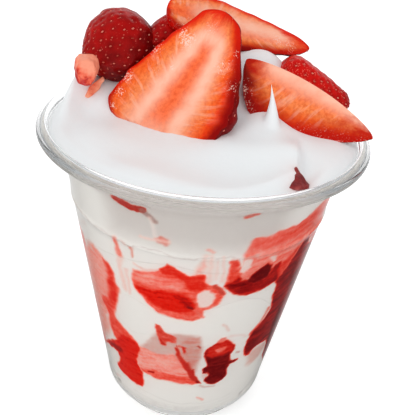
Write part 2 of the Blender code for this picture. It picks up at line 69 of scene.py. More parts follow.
CUP_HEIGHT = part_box("cup")[1][2]
RIM_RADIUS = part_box("cup")[1][0]
WALL = 0.0007
FOOT_RADIUS = 0.0252
FOOT_WIDTH = 0.0016
FOOT_HEIGHT = 0.0046
FLOOR_HEIGHT = 0.0060
TAPER_LOW = (0.0293, 0.0098)
TAPER_HIGH = (0.0419, 0.0938)
RING_HEIGHT = 0.0812
RING_RELIEF = 0.0004
LIP_RISE = 0.0012  # the lip's inner edge over its outer bead
BEAD_RADIUS = 0.0011
WALL_MIDDLE = 0.0450  # a corner half way up the wall, which keeps the rounding of its ends short
CREAM_EDGE_HEIGHT = 0.1024
CREAM_EDGE = 0.0457
CREAM_OVER_LIP = 0.0002  # how far the whipped cream reaches over the lip's inner edge
TOP_OF_WALL = 0.1012  # where the whipped cream leaves the wall
TOP_OF_FLARE = 0.1018  # where it comes up inside the lip
INTO_WALL = 0.00015  # how far the filling reaches into the wall, so that no air shows between them
PIECE_INTO_WALL = 0.00022
# Underside of the filling on the cup's floor, as (radius, height).
FILLING_BASE = ((0.0150, FLOOR_HEIGHT - INTO_WALL), (0.0240, FLOOR_HEIGHT - 0.0003), (0.02675, 0.0063),
                (0.0280, 0.0076))

FRONT_SPAN = 64.0  # degrees to each side of the front where the filling has its finest columns
FRONT_COLUMN = 0.62
BACK_COLUMN = 1.30
ROW_HEIGHT = 0.00042

# Levels of the layers at the wall, each with swells as (angle, rise, half width).
LOWER_SAUCE_FLOOR = (0.0235, ((-42, -0.0075, 12), (18, -0.0025, 14), (46, 0.0060, 12), (120, -0.005, 25),
                              (190, 0.004, 20), (-110, -0.006, 22)))
LOWER_SAUCE_TOP = (0.0430, ((-46, 0.0060, 12), (-12, 0.0055, 9), (22, 0.0010, 14), (50, 0.0040, 16),
                            (115, 0.005, 22), (185, -0.005, 25), (-120, 0.006, 20)))
UPPER_SAUCE_FLOOR = (0.0605, ((-50, -0.0090, 12), (-8, -0.0050, 14), (25, 0.0030, 14), (52, -0.0085, 12),
                              (110, 0.006, 25), (175, -0.006, 22), (-115, 0.004, 25)))
UPPER_SAUCE_TOP = (0.0745, ((-50, -0.0025, 16), (-8, 0.0025, 14), (46, 0.0130, 18), (100, 0.006, 25),
                            (165, 0.009, 22), (-125, -0.004, 25)))

# Pieces of strawberry pressed against the wall: node, angle, height, half width, half height, depth and
# where their uneven outline starts.
WALL_PIECES = (
    ("strawberry_wall_dark", 19.0, 0.0345, 0.0044, 0.0098, 0.0060, 0.6),
    ("strawberry_wall_pale", -5.0, 0.0372, 0.0064, 0.0082, 0.0050, 2.2),
    ("strawberry_wall_upper", 29.0, 0.0735, 0.0046, 0.0040, 0.0040, 1.2),
    ("strawberry_wall_sliver", -23.5, 0.0925, 0.0046, 0.0016, 0.0020, 0.0),
)

# Whipped mound as heaps: middle in plan, height over the rim of the cream and spread.
HEAPS = (
    (0.006, 0.015, 0.0180, 0.0240),
    (-0.026, 0.014, 0.0050, 0.0140),
    (0.0120, -0.0115, 0.0032, 0.0058),
)
SWIRL_RELIEF = 0.0008
# The fold's crest in plan, its rise over the mound, how wide its left side is and the dip beside it.
FOLD_START = (0.0262, -0.0100)
FOLD_END = (0.0233, -0.0410)
FOLD_RISE = 0.0034
FOLD_WIDTH = 0.0095
FOLD_DIP = 0.0016
# The drawn-out peak, which leans from its foot to its tip.
PEAK_FOOT = Vector((0.0184, -0.0115, 0.1062))
PEAK_TIP = Vector((0.0170, -0.0100, 0.1198))
PEAK_RADIUS = 0.0034

# Places that the top of the cream passes through, in millimetres: where fruit dips in, round the peak, at
# the edge, and last the steep little heap under the torn chunk.
CREAM_MARKS = (
    (13.0, -8.7, 109.9), (17.1, -8.1, 110.9), (20.0, -8.5, 109.8), (22.8, -9.0, 108.3), (26.8, -9.8, 106.4),
    (33.2, -10.1, 105.1), (39.5, -10.0, 104.2), (3.3, -20.0, 106.0), (-1.7, -17.9, 105.3),
    (-7.5, -15.4, 104.6), (-13.3, -12.9, 104.0), (-19.5, -9.5, 104.2), (-25.8, -5.8, 104.4),
    (13.0, 16.0, 121.9), (17.0, 16.0, 121.2), (21.5, 16.0, 118.6), (15.0, -30.0, 103.4),
    (0.0, -34.0, 102.9), (-20.0, -28.0, 102.9), (30.0, -25.0, 102.4), (-36.0, -10.0, 102.9),
    (40.0, 10.0, 103.0), (0.0, 36.0, 104.2), (-34.0, 20.0, 104.2), (17.0, -13.0, 108.9),
    (20.5, -14.0, 107.8), (12.0, -14.0, 107.6), (24.5, -14.0, 106.4), (8.0, -20.0, 106.2),
    (-39.5, 4.8, 112.0), (-34.5, 6.5, 111.5), (-36.6, -2.2, 105.4), (-31.5, 0.5, 107.6),
    (-40.5, -3.5, 106.8), (-38.0, 12.0, 107.5),
)
MARK_REACH = 6.5  # millimetres

LOBES = 0.022  # unevenness of a strawberry's girth

# ------ The marks of sauce behind the wall and the painted shade on it, as (degrees, millimetres of height) ------

MM_PER_DEGREE = 0.62

# Each patch: outline, softness of its edge in mm, redness, darkness, strength of its streaks.
PATCHES = (
    # shade under the lip
    (((-34, 84), (34, 84), (38, 106), (-38, 106)), 9.0, 0.015, 0.27, 0.0),
    # left swirl, from its pale side to the strong red at its right edge and below
    (((-70, 50), (-66, 62), (-57, 69), (-50, 71.5), (-45, 70.5), (-40, 68.5), (-37.3, 65), (-36, 59),
      (-36.8, 54), (-39.5, 49.5), (-41.5, 47), (-46, 45), (-50, 43), (-56, 40), (-64, 41)), 2.2, 0.28, 0.0,
      0.5),
    (((-66, 24), (-58, 28), (-52, 33), (-48, 38), (-50, 44), (-60, 44), (-70, 38)), 5.0, 0.26, 0.05, 0.4),
    (((-43.5, 69.5), (-40, 68.3), (-37.6, 65), (-36.2, 59), (-37, 54), (-39.5, 50), (-44, 48.5),
      (-50, 47.5), (-52, 49.5), (-45, 52), (-42, 57), (-41.5, 63)), 2.4, 0.66, 0.0, 0.4),
    (((-50, 50), (-41.5, 48), (-40, 45.5), (-35, 43), (-30, 40.8), (-27, 38.8), (-25.3, 36), (-27, 33),
      (-31, 33), (-40, 33), (-46, 35), (-48, 39), (-47, 44)), 2.0, 0.58, 0.0, 0.4),
    (((-62, 23.5), (-56, 25.5), (-50, 26.6), (-44, 26.2), (-42.5, 24), (-45, 21.5), (-48, 19),
      (-45.5, 17.3), (-38, 16.4), (-31, 16), (-26.3, 16.4), (-25, 19), (-25.2, 24.5), (-27.5, 28),
      (-27.5, 33), (-25.5, 36), (-27, 38.2), (-31, 39.5), (-36, 39), (-42, 35), (-48, 31.5), (-55, 27.5)),
      1.3, 0.8, 0.03, 0.25),
    (((-58, 25.3), (-50, 27), (-43, 27.5), (-38, 30), (-41, 31.5), (-47, 30.2), (-53, 28)), 1.6, 0.92, 0.25,
      0.2),
    # blob in the upper middle
    (((-26, 67), (-25, 71.4), (-21, 72.4), (-16, 73.5), (-13, 75.4), (-10, 77.6), (-7, 76.3), (-3, 74.6),
      (0, 73.6), (2.5, 75), (5, 74.8), (6, 72.6), (7.5, 70.6), (10, 69.8), (12.5, 68.8), (14.2, 66.5),
      (13, 63), (10, 61), (7.6, 60), (6.3, 56.6), (3, 55.4), (-2, 55.4), (-8, 56), (-15, 57.2), (-20, 60),
      (-24, 63.4)), 1.3, 0.5, 0.0, 0.6),
    (((-24, 70.2), (-17, 71.6), (-12, 72.2), (-6, 71.2), (-2, 69.8), (-4, 67.6), (-12, 67.4), (-20, 67.2),
      (-25, 67.8)), 1.6, 0.36, 0.0, 0.8),
    (((-14, 75.2), (-10, 77.3), (-7, 76), (-3, 74.4), (0, 73.2), (3, 74.8), (5, 74.6), (6, 72), (6.4, 69),
      (3, 67.8), (0, 68.6), (-3, 71.4), (-7, 73), (-12, 73)), 1.2, 0.72, 0.0, 0.3),
    (((-24, 65), (-17, 66), (-8, 65.8), (-2, 66.4), (1.5, 64.6), (3.4, 62), (2, 59.4), (-5, 58.2),
      (-12, 58.8), (-18, 60.6), (-22, 63)), 1.7, 0.8, 0.0, 0.3),
    (((-7, 65), (-1, 65.4), (2, 63.2), (3.4, 61.2), (2, 60.4), (-1, 61)), 1.4, 0.88, 0.06, 0.2),
    (((3.6, 67), (5.5, 68.6), (8.6, 68.6), (10.6, 66.8), (10.3, 63.4), (8.3, 61.6), (5.4, 62), (3.4, 64.2)),
      1.0, 0.07, 0.0, 0.2),
    (((1, 74.4), (2, 79), (4, 82), (5, 78), (4.6, 75)), 2.0, 0.2, 0.0, 0.3),
    # small smears near the top
    (((-14.2, 85.6), (-12, 86.6), (-9, 86.2), (-8.6, 85), (-10.4, 83.8), (-13.2, 84.2)), 1.2, 0.36, 0.2,
      0.3),
    # translucent sauce at the upper right
    (((19.6, 82), (22, 85), (23.6, 87.6), (26.4, 87.2), (30, 87.2), (36, 88), (42, 88.6), (48, 89.6),
      (53, 91), (60, 92), (69, 91), (75, 87), (70, 82), (64, 79), (58, 78), (50, 77), (46, 72), (42, 68),
      (38, 67.4), (35, 68), (37, 73), (35.6, 76.6), (31, 77.6), (27, 76.6), (23, 74.6), (20.4, 72.6),
      (17, 70), (14.6, 70.6), (14.4, 75), (15.4, 79.6), (17.4, 80.6), (19, 77.6), (20.4, 77.6)), 1.3, 0.4,
      0.0, 0.7),
    (((22.4, 84.6), (23.6, 87.2), (30, 86.9), (36, 87.6), (42, 88.2), (50, 89.2), (56, 89.6), (56, 86),
      (48, 84.4), (40, 83.6), (30, 83.4)), 2.4, 0.52, 0.0, 0.5),
    (((24, 83), (34, 82.6), (44, 82), (54, 81), (50, 79), (40, 79.4), (30, 79), (24, 79.6)), 2.0, 0.34, 0.0,
      0.6),
    (((20.6, 80.4), (22.6, 80), (24.8, 77.4), (24.4, 75.6), (22, 74.8), (20.6, 76.4)), 1.2, 0.08, 0.0, 0.2),
    (((33, 79.6), (36, 79.2), (36.4, 76.8), (34.4, 76.4), (32.4, 77.6)), 1.4, 0.16, 0.0, 0.2),
    (((14.4, 70.4), (14.6, 75), (15.6, 79.4), (17.6, 80.2), (18.6, 77), (20.6, 74.6), (20, 71.4),
      (17, 69.6)), 1.4, 0.62, 0.0, 0.4),
    (((13.8, 69.8), (16.4, 71.6), (19.6, 73.8), (22.4, 73), (25.6, 71.4), (29, 70.2), (33, 70.2),
      (35.6, 71.6), (36.4, 75), (38.6, 75.4), (40.6, 71), (40, 67.6), (36.4, 66.4), (32, 65.4), (26, 65),
      (20, 66.2), (16, 67.6)), 1.1, 0.9, 0.22, 0.3),
    (((20, 71.4), (25, 70), (31, 69), (37, 69.6), (39, 72), (38.4, 74.8), (41.4, 72), (41, 68), (36, 66.6),
      (30, 66), (23, 66.8)), 1.6, 0.94, 0.22, 0.2),
    (((21, 72), (22.6, 76), (24.4, 79.4), (34, 79.8), (37, 78), (37.6, 75), (30, 73)), 1.4, 0.36, 0.0, 0.5),
    (((20.2, 75.4), (20.6, 79.6), (23, 79.6), (24, 77), (22.8, 74.8)), 1.0, 0.06, 0.0, 0.2),
    (((32.8, 79.4), (36, 79.2), (36.4, 77.2), (34.6, 76.8)), 0.8, 0.1, 0.0, 0.2),
    (((24, 71.5), (26, 73.5), (29, 75.8), (32, 76.5), (35, 75.5), (36, 73), (35, 70.5), (31, 69.8),
      (27, 70)), 0.9, 0.98, 0.45, 0.1),
    (((39, 73.6), (44, 76), (50, 79), (46, 72.6), (43, 69.4), (41, 68)), 1.6, 0.64, 0.0, 0.4),
    # dark sauce down the right side
    (((40, 67.4), (41.6, 65.8), (43.2, 62.4), (43.8, 57), (44.2, 53.4), (42.4, 50.6), (39.6, 48.4),
      (36.8, 45.8), (35, 42.4), (34, 39.4), (34.6, 36), (36.6, 33.4), (39.8, 33), (41.2, 35.4), (45, 36.2),
      (52, 35.6), (54.4, 32.6), (56.4, 28), (59, 24.4), (63, 20), (68, 23), (72, 31), (67, 40), (74, 49),
      (69, 58), (75, 66), (68, 72), (60, 76), (55.4, 80.4), (52, 79.6), (49, 75.6), (46, 71.8), (43, 69)),
      1.1, 0.94, 0.18, 0.3),
    (((46, 70), (50, 75.6), (54, 79), (58, 76), (60, 66), (60, 50), (56, 46), (50, 47), (46.6, 52),
      (46, 60)), 2.6, 0.96, 0.1, 0.25),
    (((54.4, 50), (60, 50), (62, 40), (61, 30), (65, 22), (62.4, 20.6), (58.6, 25.6), (56, 30), (54.6, 36)),
      1.6, 1.0, 0.45, 0.2),
    (((34.4, 40.4), (38, 42.6), (42, 41), (41.6, 36.6), (39.6, 33.6), (36.8, 33.8), (35, 36.4)), 1.4, 0.96,
      0.1, 0.5),
    (((41, 35), (53, 34.6), (54, 31), (51, 27.4), (45, 26), (40, 28), (38.6, 31.6)), 3.0, 0.16, 0.16, 0.3),
    # sauce and fruit low in the middle
    (((-24, 38.8), (-19, 43), (-16, 46.4), (-10, 48.6), (-4, 49.2), (3, 48.8), (8.4, 48), (9.6, 43),
      (9.4, 38), (8, 32), (8, 28), (-4, 36), (-16, 36), (-24, 36)), 2.0, 0.17, 0.26, 0.3),
    (((-25.4, 38.2), (-20, 37.6), (-12, 37.2), (-6, 38.8), (-3, 36.4), (0.6, 33.4), (3.6, 30), (6.4, 26.4),
      (9.4, 24), (4, 23.4), (-6, 23.6), (-16, 24.2), (-22, 24.6), (-25.4, 25.2), (-27.4, 30), (-27, 35)),
      1.3, 0.3, 0.0, 0.8),
    (((-25.6, 26.8), (-18, 28.6), (-8, 27.6), (2, 27.4), (5, 26), (8.6, 23.8), (-6, 23.8), (-16, 24.4),
      (-24.6, 25)), 1.4, 0.52, 0.0, 0.5),
    (((-15.4, 51.6), (-13.4, 51.4), (-10.6, 49), (-6, 48.2), (-4, 47.2), (-4.6, 45.6), (-9, 45.2),
      (-11.4, 42.4), (-13.4, 43), (-15.4, 45.6)), 0.9, 0.6, 0.14, 0.4),
    (((0, 46.4), (7.4, 47.6), (8.4, 42), (7.6, 36), (4.6, 31.4), (1, 36), (-2, 40)), 2.0, 0.26, 0.3, 0.8),
    (((3, 31), (6, 31.4), (9, 25.6), (10.4, 24), (7.8, 23.8), (5.4, 26.8)), 0.9, 0.9, 0.45, 0.2),
    # dark piece of fruit low at the right of the middle
    (((11.4, 41), (13, 43.2), (15.4, 44.6), (17.4, 45.8), (19.6, 45.8), (21.4, 44.4), (24.4, 43.2),
      (26.6, 41.8), (27, 39.4), (26, 37), (26.6, 35), (28.4, 34), (31.4, 33.8), (32, 33), (30, 32.2),
      (27.4, 32), (26.6, 30), (26, 27), (24, 24.9), (21, 23.3), (17, 23.2), (14, 24), (12, 25.6),
      (13, 27.4), (14.6, 28.6), (12.4, 29.4), (11.8, 31), (13.6, 33.2), (12.6, 36), (11.3, 38.6)), 0.8,
      0.97, 0.42, 0.15),
    (((12.6, 41.6), (15.6, 44.4), (19.4, 45.6), (23.8, 43.2), (26.4, 41.4), (25.8, 39), (21, 38.4),
      (16, 38), (12.6, 38.4)), 1.4, 0.8, 0.15, 0.4),
    (((15.4, 45), (17.4, 46.6), (19.6, 46.8), (21, 45), (19, 44.4)), 1.0, 0.4, 0.05, 0.2),
    # painted highlight: a pale salmon spot on the dark piece
    (((16.4, 41.8), (19, 42.4), (22.4, 41.8), (22, 40.4), (19, 39.8), (16.8, 40.4)), 0.9, 0.4, 0.05, 0.5),
    (((12, 26.4), (14, 27.6), (15.4, 28.4), (14.6, 29.4), (11.8, 29.6), (10.8, 28)), 0.6, 0.1, 0.05, 0.0),
)

# Each streak: path, half width in mm, softness in mm, redness, darkness.
STREAKS = (
    (((-32.8, 81), (-32.2, 76), (-31.8, 71), (-31, 62)), 0.8, 1.3, 0.13, 0.0),
    (((-33, 80.5), (-32.4, 75)), 0.7, 1.1, 0.4, 0.0),
    (((-28.6, 70), (-28.2, 61)), 0.6, 1.0, 0.12, 0.0),
    (((-26.2, 80.6), (-24.9, 75.8)), 0.3, 0.6, 0.3, 0.22),
    (((-28.6, 81), (-27.8, 80.6)), 0.4, 0.7, 0.16, 0.12),
    (((-25, 74), (-20, 73), (-15, 74.6)), 0.3, 1.2, 0.18, 0.05),
    (((-29.6, 95.3), (-25, 94.6), (-19.4, 94.1)), 1.15, 0.7, 0.7, 0.42),
    (((-19.6, 93.8), (-16.4, 92.6), (-14.2, 91.2)), 0.85, 0.8, 0.18, 0.6),
    (((-16.6, 92), (-15, 88.6), (-13.6, 86)), 0.5, 1.4, 0.05, 0.04),
    (((-21, 85.2), (-15, 84.8), (-9, 85.4)), 0.5, 1.0, 0.14, 0.0),
    (((5, 84), (6.4, 83)), 0.5, 1.0, 0.22, 0.04),
    (((9, 80), (9.6, 73)), 0.5, 1.3, 0.1, 0.0),
    (((12, 81), (12.6, 72)), 0.5, 1.3, 0.12, 0.0),
    (((6, 81.5), (7, 72)), 0.6, 1.6, 0.13, 0.0),
    (((17.4, 95.6), (19, 96.2), (21, 96.4)), 0.6, 0.8, 0.55, 0.15),
    (((10.4, 70), (12.4, 68.6), (13.4, 66.4)), 0.7, 0.9, 0.6, 0.22),
    (((0, 61.6), (2.6, 61)), 0.45, 0.7, 0.95, 0.55),
    (((4.4, 60.2), (6.6, 57.4), (7.6, 57)), 0.5, 1.2, 0.45, 0.05),
    (((-13.8, 44.2), (-11, 42.8)), 0.5, 0.8, 0.75, 0.2),
    (((-8.6, 45.4), (-4.4, 45.2)), 0.35, 0.6, 0.66, 0.08),
    (((-3.8, 43), (0.8, 42.7)), 0.3, 0.6, 0.7, 0.16),
    (((-0.4, 42.6), (0.0, 40.6)), 0.45, 0.6, 0.74, 0.16),
    (((-4.4, 41.4), (-3.6, 38.6), (-1.6, 36.2), (0.4, 34), (3, 31), (5, 28)), 0.75, 1.0, 0.72, 0.22),
    (((1, 34.2), (4, 30.4), (6.6, 26.6)), 1.2, 1.4, 0.76, 0.3),
    (((7.4, 43.6), (8, 43)), 0.42, 0.5, 0.55, 0.45),
    (((-20.6, 26.6), (-18.2, 27.2)), 0.42, 0.7, 0.9, 0.42),
    (((-26, 31.5), (-16, 32.4), (-8, 31)), 0.35, 1.6, 0.26, 0.0),
    (((-24, 35), (-14, 34.6), (-6, 34.8)), 0.35, 1.4, 0.24, 0.0),
    (((29.4, 37.8), (31, 37.6)), 0.4, 0.7, 0.2, 0.32),
    (((17.4, 53.8), (19, 52.2), (21, 49.6)), 0.3, 0.9, 0.16, 0.12),
    (((11, 23), (14, 21.6), (20, 21.6)), 0.35, 1.0, 0.16, 0.2),
    (((10, 15.3), (14.4, 14.2)), 0.55, 1.3, 0.24, 0.0),
    (((-52, 11), (-47, 12.4)), 0.5, 1.5, 0.12, 0.0),
    (((-57, 69.6), (-52, 68.6)), 0.4, 1.6, 0.16, 0.16),
    (((-62, 74), (-54, 78)), 0.5, 2.4, 0.05, 0.1),
    (((33, 45), (28, 46.4), (22, 46.6)), 0.4, 1.8, 0.1, 0.06),
    (((39.4, 49), (41.4, 52), (42.4, 55)), 0.5, 1.2, 0.4, 0.1),
    (((36, 45), (39, 48.6)), 0.5, 1.4, 0.55, 0.05),
    (((-30, 14.4), (-10, 12.4), (18, 12.2), (36, 14.0)), 0.12, 0.6, 0.0, 0.16),
    (((-34, 11.6), (-10, 10.2), (18, 10.2), (34, 11.4)), 0.1, 0.6, 0.0, 0.14),
    # shadow lines of the stacking ring, the flare and the clear foot
    (((-72, 80.6), (-40, 80.9), (0, 80.7), (26, 80.8)), 0.12, 0.55, 0.04, 0.34),
    (((-66, 95.6), (0, 95.6), (60, 95.6)), 0.1, 0.55, 0.03, 0.3),
    (((-72, 98.2), (0, 98.2), (66, 98.2)), 0.1, 0.6, 0.03, 0.3),
    (((-72, 99.4), (0, 99.3), (66, 99.4)), 0.08, 0.4, 0.0, 0.35),
    (((-70, 100.4), (0, 100.5), (70, 100.4)), 0.08, 0.4, 0.0, 0.3),
    (((-60, 99.2), (-46, 98.2), (-38, 97.4), (-30, 96.6), (-16, 96.0)), 0.16, 0.5, 0.0, 0.62),
    (((14, 96.0), (28, 96.6), (38, 97.6), (52, 98.8), (64, 99.6)), 0.16, 0.5, 0.0, 0.5),
    (((-80, 17), (-66, 13), (-54, 10.6), (-46, 9.4), (-38, 8.6), (-33, 9.6), (-24, 8.8), (-10, 8.2),
      (10, 8.2), (26, 8.8), (33, 9.6), (40, 8.8), (48, 10), (60, 12.6), (80, 17)), 0.18, 0.5, 0.0, 0.62),
)


# ------ Helpers ------

def smoothstep(value):
    """Goes softly from 0 to 1 while its value does."""
    value = np.clip(value, 0.0, 1.0)
    return value * value * (3.0 - 2.0 * value)


def mix(first, second, share):
    """Goes from the first to the second as a share grows from 0 to 1."""
    return first + (second - first) * share


def lattice_noise(points, size, seed):
    """Smooth noise between -1 and 1 that changes over about size, for rows of coordinates.

    Each corner of a lattice gets its value by mixing the bits of its whole numbers with a seed.
    """
    scaled = np.asarray(points, float) / size
    cell = np.floor(scaled).astype(np.int64)
    part = smoothstep(scaled - cell)
    total = np.zeros(len(scaled))
    for corner in itertools.product((0, 1), repeat=scaled.shape[1]):
        key = np.full(len(scaled), seed * 7919 + 17, np.int64)
        weight = np.ones(len(scaled))
        for axis, (step, prime) in enumerate(zip(corner, (73856093, 19349663, 83492791))):
            key ^= (cell[:, axis] + step) * prime
            weight *= part[:, axis] if step else 1.0 - part[:, axis]
        key = (key ^ (key >> 13)) * 1274126177
        total += weight * (((key ^ (key >> 16)) & 0xFFFF) / 32767.5 - 1.0)
    return total


def layered_noise(points, layers):
    """Noise in layers, each given as its amount, its size and its seed."""
    return sum(amount * lattice_noise(points, size, seed) for amount, size, seed in layers)


def grid_faces(rows, columns, closed):
    """Quads between the points of a grid that is stored row by row."""
    row = np.arange(rows - 1)[:, None]
    column = np.arange(columns if closed else columns - 1)[None, :]
    after = (column + 1) % columns
    corners = (row * columns + column, row * columns + after, (row + 1) * columns + after,
               (row + 1) * columns + column)
    return np.stack(np.broadcast_arrays(*corners), -1).reshape(-1, 4)


def fan_faces(pole, ring, turned=False):
    """Triangles from a pole to a closed ring of points."""
    ring = np.asarray(ring)
    after = np.roll(ring, -1)
    middle = np.full(len(ring), pole)
    return np.stack((middle, after, ring) if turned else (middle, ring, after), -1)


def store(mesh, values):
    """Keeps named values or directions at the points of a mesh, in place of older ones."""
    for key, value in values.items():
        value = np.asarray(value, np.float32)
        if key in mesh.attributes:
            mesh.attributes.remove(mesh.attributes[key])
        kind = "FLOAT_VECTOR" if value.ndim == 2 else "FLOAT"
        attribute = mesh.attributes.new(key, kind, "POINT")
        attribute.data.foreach_set("vector" if value.ndim == 2 else "value", value.ravel())


def new_mesh(name, points, face_groups, values=None):
    """A mesh from points and groups of faces of one size, with its values stored at the points."""
    points = np.asarray(points, np.float32)
    mesh = bpy.data.meshes.new(name)
    mesh.vertices.add(len(points))
    mesh.vertices.foreach_set("co", points.ravel())
    sizes = np.concatenate([np.full(len(group), group.shape[1], np.int32) for group in face_groups])
    corners = np.concatenate([group.ravel() for group in face_groups]).astype(np.int32)
    mesh.loops.add(len(corners))
    mesh.loops.foreach_set("vertex_index", corners)
    mesh.polygons.add(len(sizes))
    mesh.polygons.foreach_set("loop_start", (np.cumsum(sizes) - sizes).astype(np.int32))
    mesh.polygons.foreach_set("loop_total", sizes)
    mesh.update(calc_edges=True)
    mesh.validate()
    store(mesh, values or {})
    return mesh


def face_outwards(mesh):
    """Turns the faces of a closed mesh outwards."""
    made = bmesh.new()
    made.from_mesh(mesh)
    bmesh.ops.recalc_face_normals(made, faces=made.faces)
    made.to_mesh(mesh)
    made.free()


def new_object(name, data):
    """A new object in the scene."""
    obj = bpy.data.objects.new(name, data)
    bpy.context.scene.collection.objects.link(obj)
    return obj


def add_piece(name, mesh, material, nodes=(), sharp=None):
    """Finishes a piece: smooth shading, material, the body it rides on and the nodes that it stands for."""
    face_outwards(mesh)
    mesh.materials.clear()
    mesh.materials.append(material)
    mesh.shade_smooth()
    if sharp is not None:
        mesh.set_sharp_from_angle(angle=math.radians(sharp))
    obj = new_object(name, mesh)
    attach(obj, ROOT)
    if nodes:
        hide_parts(*nodes)
    return obj


def evaluated_mesh(obj):
    """The plain mesh that an object's modifiers give."""
    bpy.context.view_layer.update()
    graph = bpy.context.evaluated_depsgraph_get()
    return bpy.data.meshes.new_from_object(obj.evaluated_get(graph))


def run_tree(name, mesh, tree, inputs):
    """Gives a mesh to a Geometry Nodes tree with these inputs and returns the plain mesh that it makes."""
    obj = new_object(name, mesh)
    modifier = obj.modifiers.new("shape", "NODES")
    modifier.node_group = tree
    for item in tree.interface.items_tree:
        if item.item_type == "SOCKET" and item.in_out == "INPUT" and item.name in inputs:
            modifier[item.identifier] = inputs[item.name]
    made = evaluated_mesh(obj)
    obj.modifiers.clear()
    bpy.data.objects.remove(obj, do_unlink=True)
    return made


class Tree:
    """Short calls for building a node tree: nodes, links and sums."""

    def __init__(self, tree):
        self.tree = tree
        self.column = 0

    def add(self, kind, inputs=None, **settings):
        node = self.tree.nodes.new(kind)
        self.column += 1
        node.location = (180.0 * (self.column % 12), -220.0 * (self.column // 12))
        for key, value in settings.items():
            setattr(node, key, value)
        for key, value in (inputs or {}).items():
            self.set(node.inputs[key], value)
        return node

    def out(self, kind, output, inputs=None, **settings):
        """Adds a node and gives one of its outputs."""
        return self.add(kind, inputs, **settings).outputs[output]

    def set(self, socket, value):
        if isinstance(value, bpy.types.NodeSocket):
            self.tree.links.new(value, socket)
        else:
            socket.default_value = value

    def math(self, operation, first, second=0.0, clamp=False):
        return self.out("ShaderNodeMath", 0, {0: first, 1: second}, operation=operation, use_clamp=clamp)

    def times(self, first, second, clamp=False):
        return self.math("MULTIPLY", first, second, clamp)

    def plus(self, first, second, clamp=False):
        return self.math("ADD", first, second, clamp)

    def minus(self, first, second):
        return self.math("SUBTRACT", first, second)


def shape_tree(name, inputs):
    """A Geometry Nodes tree with named inputs beside its geometry, its helper and what its inputs give."""
    tree = bpy.data.node_groups.new(name, "GeometryNodeTree")
    for key, kind in {"Geometry": "Geometry", **inputs}.items():
        tree.interface.new_socket(key, in_out="INPUT", socket_type="NodeSocket" + kind)
    tree.interface.new_socket("Geometry", in_out="OUTPUT", socket_type="NodeSocketGeometry")
    make = Tree(tree)
    return tree, make, make.add("NodeGroupInput").outputs


def finish_shape(make, geometry, material):
    """Ends a Geometry Nodes tree with real geometry that carries its material."""
    real = make.out("GeometryNodeRealizeInstances", "Geometry", {"Geometry": geometry})
    painted = make.out("GeometryNodeSetMaterial", "Geometry", {"Geometry": real, "Material": material})
    make.add("NodeGroupOutput", {"Geometry": painted})


# ------ Cup ------

def wall_radius(height):
    """Outside radius of the straight wall at a height."""
    share = (height - TAPER_LOW[1]) / (TAPER_HIGH[1] - TAPER_LOW[1])
    return mix(TAPER_LOW[0], TAPER_HIGH[0], share)


def arc(middle, radius, start, end, steps):
    """Points of an arc in the (radius, height) plane, angles in degrees."""
    turns = np.radians(np.linspace(start, end, steps + 1))
    return [(middle[0] + radius * math.cos(turn), middle[1] + radius * math.sin(turn)) for turn in turns]


def cup_outside():
    """Corners (radius, height) of the outside, from the middle of the base up to the top of the lip."""
    recess, foot = FOOT_RADIUS - FOOT_WIDTH, FOOT_RADIUS + 0.0004
    ring = wall_radius(RING_HEIGHT) + RING_RELIEF
    under, over = RING_HEIGHT - 0.0012, RING_HEIGHT + 0.0012
    return [
        # base and foot
        (0.0, FLOOR_HEIGHT - WALL), (recess - 0.0022, FLOOR_HEIGHT - WALL - 0.0004),
        (recess, FOOT_HEIGHT - 0.0030), (recess, 0.0), (FOOT_RADIUS, 0.0), (foot, 0.0005),
        (foot, FOOT_HEIGHT - 0.0004), (FOOT_RADIUS + 0.0010, FOOT_HEIGHT),
        (0.0279, 0.0047), (0.0288, 0.0055), (0.0291, 0.0075), TAPER_LOW,
        # wall with the stacking ring
        (wall_radius(WALL_MIDDLE), WALL_MIDDLE), (wall_radius(under), under), (ring, RING_HEIGHT - 0.0004),
        (ring, RING_HEIGHT + 0.0004), (wall_radius(over), over), TAPER_HIGH,
        # flare and lip
        (0.0424, 0.0955), (0.0429, 0.0964), (0.0434, 0.0982), (0.0443, 0.0994), (0.0458, 0.1002),
        (0.0474, 0.1006),
        *arc((RIM_RADIUS - BEAD_RADIUS, CUP_HEIGHT - BEAD_RADIUS), BEAD_RADIUS, -60, 90, 8),
    ]


def cup_inside():
    """Corners (radius, height) of the inside, from the lip down to the middle of the floor."""
    return [
        (0.0473, CUP_HEIGHT + 0.7 * LIP_RISE), (0.0468, CUP_HEIGHT + LIP_RISE),
        (0.0464, CUP_HEIGHT + 0.8 * LIP_RISE), (0.0459, CUP_HEIGHT - 0.0002), (0.0455, CUP_HEIGHT - 0.0013),
        (0.0440, 0.1004), (0.0430, 0.0992), (0.0426, 0.0975), (0.0418, 0.0955),
        (TAPER_HIGH[0] - WALL, TAPER_HIGH[1]), (wall_radius(WALL_MIDDLE) - WALL, WALL_MIDDLE),
        (TAPER_LOW[0] - WALL, TAPER_LOW[1] + 0.0004), (0.0278, 0.0078), (0.0266, 0.0064),
        (0.0240, FLOOR_HEIGHT - 0.0002), (0.0, FLOOR_HEIGHT),
    ]


INSIDE = sorted((height, radius) for radius, height in cup_inside()[:-1])


def inside_radius(height):
    """Inside radius of the cup at a height."""
    return np.interp(height, [point[0] for point in INSIDE], [point[1] for point in INSIDE])


def rounded(points, times):
    """Cuts the corners of an open outline again and again, so that they turn softly."""
    for _ in range(times):
        cut = [points[0]]
        for first, second in zip(points, points[1:]):
            cut.append((mix(first[0], second[0], 0.22), mix(first[1], second[1], 0.22)))
            cut.append((mix(first[0], second[0], 0.78), mix(first[1], second[1], 0.78)))
        points = cut + [points[-1]]
    return points


